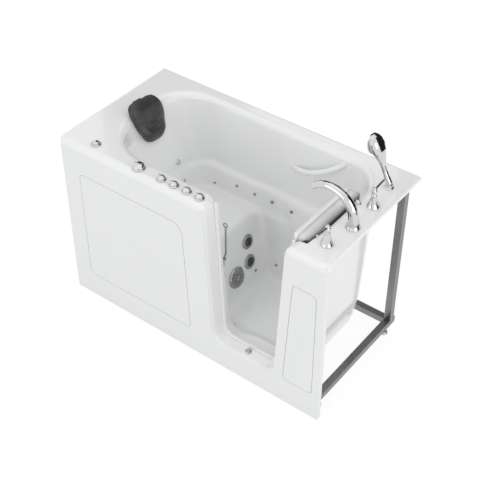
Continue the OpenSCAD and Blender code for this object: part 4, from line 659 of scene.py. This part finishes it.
IMAGE = 480
FOCAL_PX = 1078.23
SENSOR_MM = 36.0
AZIMUTH, ELEVATION, ROLL = math.radians(37.557), math.radians(40.833), math.radians(-0.143)
DISTANCE = 5.2898
back_dir = Vector((math.sin(AZIMUTH) * math.cos(ELEVATION), -math.cos(AZIMUTH) * math.cos(ELEVATION),
                   math.sin(ELEVATION)))
right_dir = Vector((math.cos(AZIMUTH), math.sin(AZIMUTH), 0.0))
up_dir = back_dir.cross(right_dir)
TARGET = Vector((0, 0, 0.4825)) + right_dir * 0.0160 + up_dir * -0.0229

cam_data = bpy.data.cameras.new("camera")
cam_data.sensor_width = SENSOR_MM
cam_data.lens = FOCAL_PX * SENSOR_MM / IMAGE
cam_data.clip_end = 100.0
camera = bpy.data.objects.new("camera", cam_data)
bpy.context.collection.objects.link(camera)
turned = Matrix.Rotation(ROLL, 3, back_dir)
axes = Matrix((turned @ right_dir, turned @ up_dir, back_dir)).transposed()
camera.matrix_world = Matrix.Translation(TARGET + back_dir * DISTANCE) @ axes.to_4x4()
bpy.context.scene.camera = camera

AMBIENT = 0.80
FLOOR_SIZE = 12.0
FLOOR_GREY, FLOOR_GLOW, GLOW_SHARE = 0.9, 1.06, 0.86
# The dark card: the end and height of each of its steps along the back, and where it comes forward to.
CARD_START, CARD_BACK, CARD_FORWARD = -4.4, 3.4, 1.0
CARD_STEPS = [(-2.5, 5.9), (-0.9, 3.3), (5.2, 6.5)]


def math_node(tree, operation, first, second):
    """A maths node of two values, each a socket or a number."""
    node = tree.nodes.new("ShaderNodeMath")
    node.operation = operation
    for socket, value in zip(node.inputs, (first, second)):
        if isinstance(value, float):
            socket.default_value = value
        else:
            tree.links.new(value, socket)
    return node.outputs[0]


def seen_directly(tree):
    """One for rays that show the background: from the camera, or by way of metal or glass."""
    path = tree.nodes.new("ShaderNodeLightPath")
    seen = math_node(tree, "MAXIMUM", path.outputs["Is Camera Ray"], path.outputs["Is Glossy Ray"])
    return math_node(tree, "MAXIMUM", seen, path.outputs["Is Transmission Ray"])


def mixed(tree, share, first, second, out):
    """Mixes two shaders by a share into an output node."""
    mix = tree.nodes.new("ShaderNodeMixShader")
    tree.links.new(share, mix.inputs["Fac"])
    tree.links.new(first.outputs[0], mix.inputs[1])
    tree.links.new(second.outputs[0], mix.inputs[2])
    tree.links.new(mix.outputs[0], out.inputs["Surface"])


def white_light(tree, strength):
    node = tree.nodes.new("ShaderNodeBackground")
    node.inputs["Color"].default_value = (1.0, 1.0, 1.0, 1.0)
    node.inputs["Strength"].default_value = strength
    return node


def build_world():
    world = bpy.data.worlds.new("studio")
    bpy.context.scene.world = world
    world.use_nodes = True
    tree = world.node_tree
    tree.nodes.clear()
    out = tree.nodes.new("ShaderNodeOutputWorld")
    mixed(tree, seen_directly(tree), white_light(tree, AMBIENT), white_light(tree, 1.0), out)


def staged(name, points, faces, mat):
    """A piece of the studio, which is no part of the object."""
    mesh = bpy.data.meshes.new(name)
    mesh.from_pydata(points, [], faces)
    obj = bpy.data.objects.new(name, mesh)
    bpy.context.collection.objects.link(obj)
    dress(obj, mat)
    return obj


def floor_material():
    """Pale floor that is nearly white to the camera and keeps its shadows."""
    mat = bpy.data.materials.new("pale_floor")
    mat.use_nodes = True
    tree = mat.node_tree
    tree.nodes.clear()
    out = tree.nodes.new("ShaderNodeOutputMaterial")
    diffuse = tree.nodes.new("ShaderNodeBsdfDiffuse")
    diffuse.inputs["Color"].default_value = (FLOOR_GREY, FLOOR_GREY, FLOOR_GREY, 1.0)
    glow = tree.nodes.new("ShaderNodeEmission")
    glow.inputs["Strength"].default_value = FLOOR_GLOW
    mixed(tree, math_node(tree, "MULTIPLY", seen_directly(tree), GLOW_SHARE), diffuse, glow, out)
    return mat


def build_floor():
    half = FLOOR_SIZE / 2
    points = [(-half, -half, 0), (half, -half, 0), (half, half, 0), (-half, half, 0)]
    staged("studio_floor", points, [(0, 1, 2, 3)], floor_material())


def build_card():
    """A dark card behind the bath and to its right, which only glossy reflections show."""
    corners = [(CARD_START, CARD_BACK)] + [(end, CARD_BACK) for end, _ in CARD_STEPS]
    corners.append((corners[-1][0], CARD_FORWARD))
    tops = [top for _, top in CARD_STEPS]
    tops.append(tops[-1])
    points = []
    for first, second, top in zip(corners, corners[1:], tops):
        points += [(*first, 0.0), (*second, 0.0), (*second, top), (*first, top)]
    faces = [(i, i + 1, i + 2, i + 3) for i in range(0, len(points), 4)]
    mat, _, shader = new_material("flag_cloth")
    shader.inputs["Base Color"].default_value = (0.01, 0.01, 0.01, 1.0)
    shader.inputs["Roughness"].default_value = 0.9
    card = staged("studio_flag", points, faces, mat)
    card.visible_camera = False
    card.visible_diffuse = False
    card.visible_shadow = False
    card.visible_transmission = False


def lamp(name, place, size, power):
    """A soft rectangular lamp that is aimed at the bath."""
    data = bpy.data.lights.new(name, "AREA")
    data.shape = "RECTANGLE"
    data.size, data.size_y = size
    data.energy = power
    obj = bpy.data.objects.new(name, data)
    bpy.context.collection.objects.link(obj)
    obj.location = place
    obj.rotation_euler = (Vector((0.0, 0.0, 0.5)) - Vector(place)).to_track_quat("-Z", "Y").to_euler()


build_world()
build_floor()
build_card()
lamp("overhead", (-0.2, -0.3, 3.6), (3.2, 2.4), 5)
lamp("front", (-0.6, -4.0, 2.0), (3.0, 2.0), 19)
lamp("right", (4.2, -0.8, 2.1), (2.4, 2.4), 24)

bpy.context.scene.view_settings.view_transform = "Standard"

for obj in nodes.values():
    obj.data.polygons.foreach_set("use_smooth", np.ones(len(obj.data.polygons), dtype=bool))
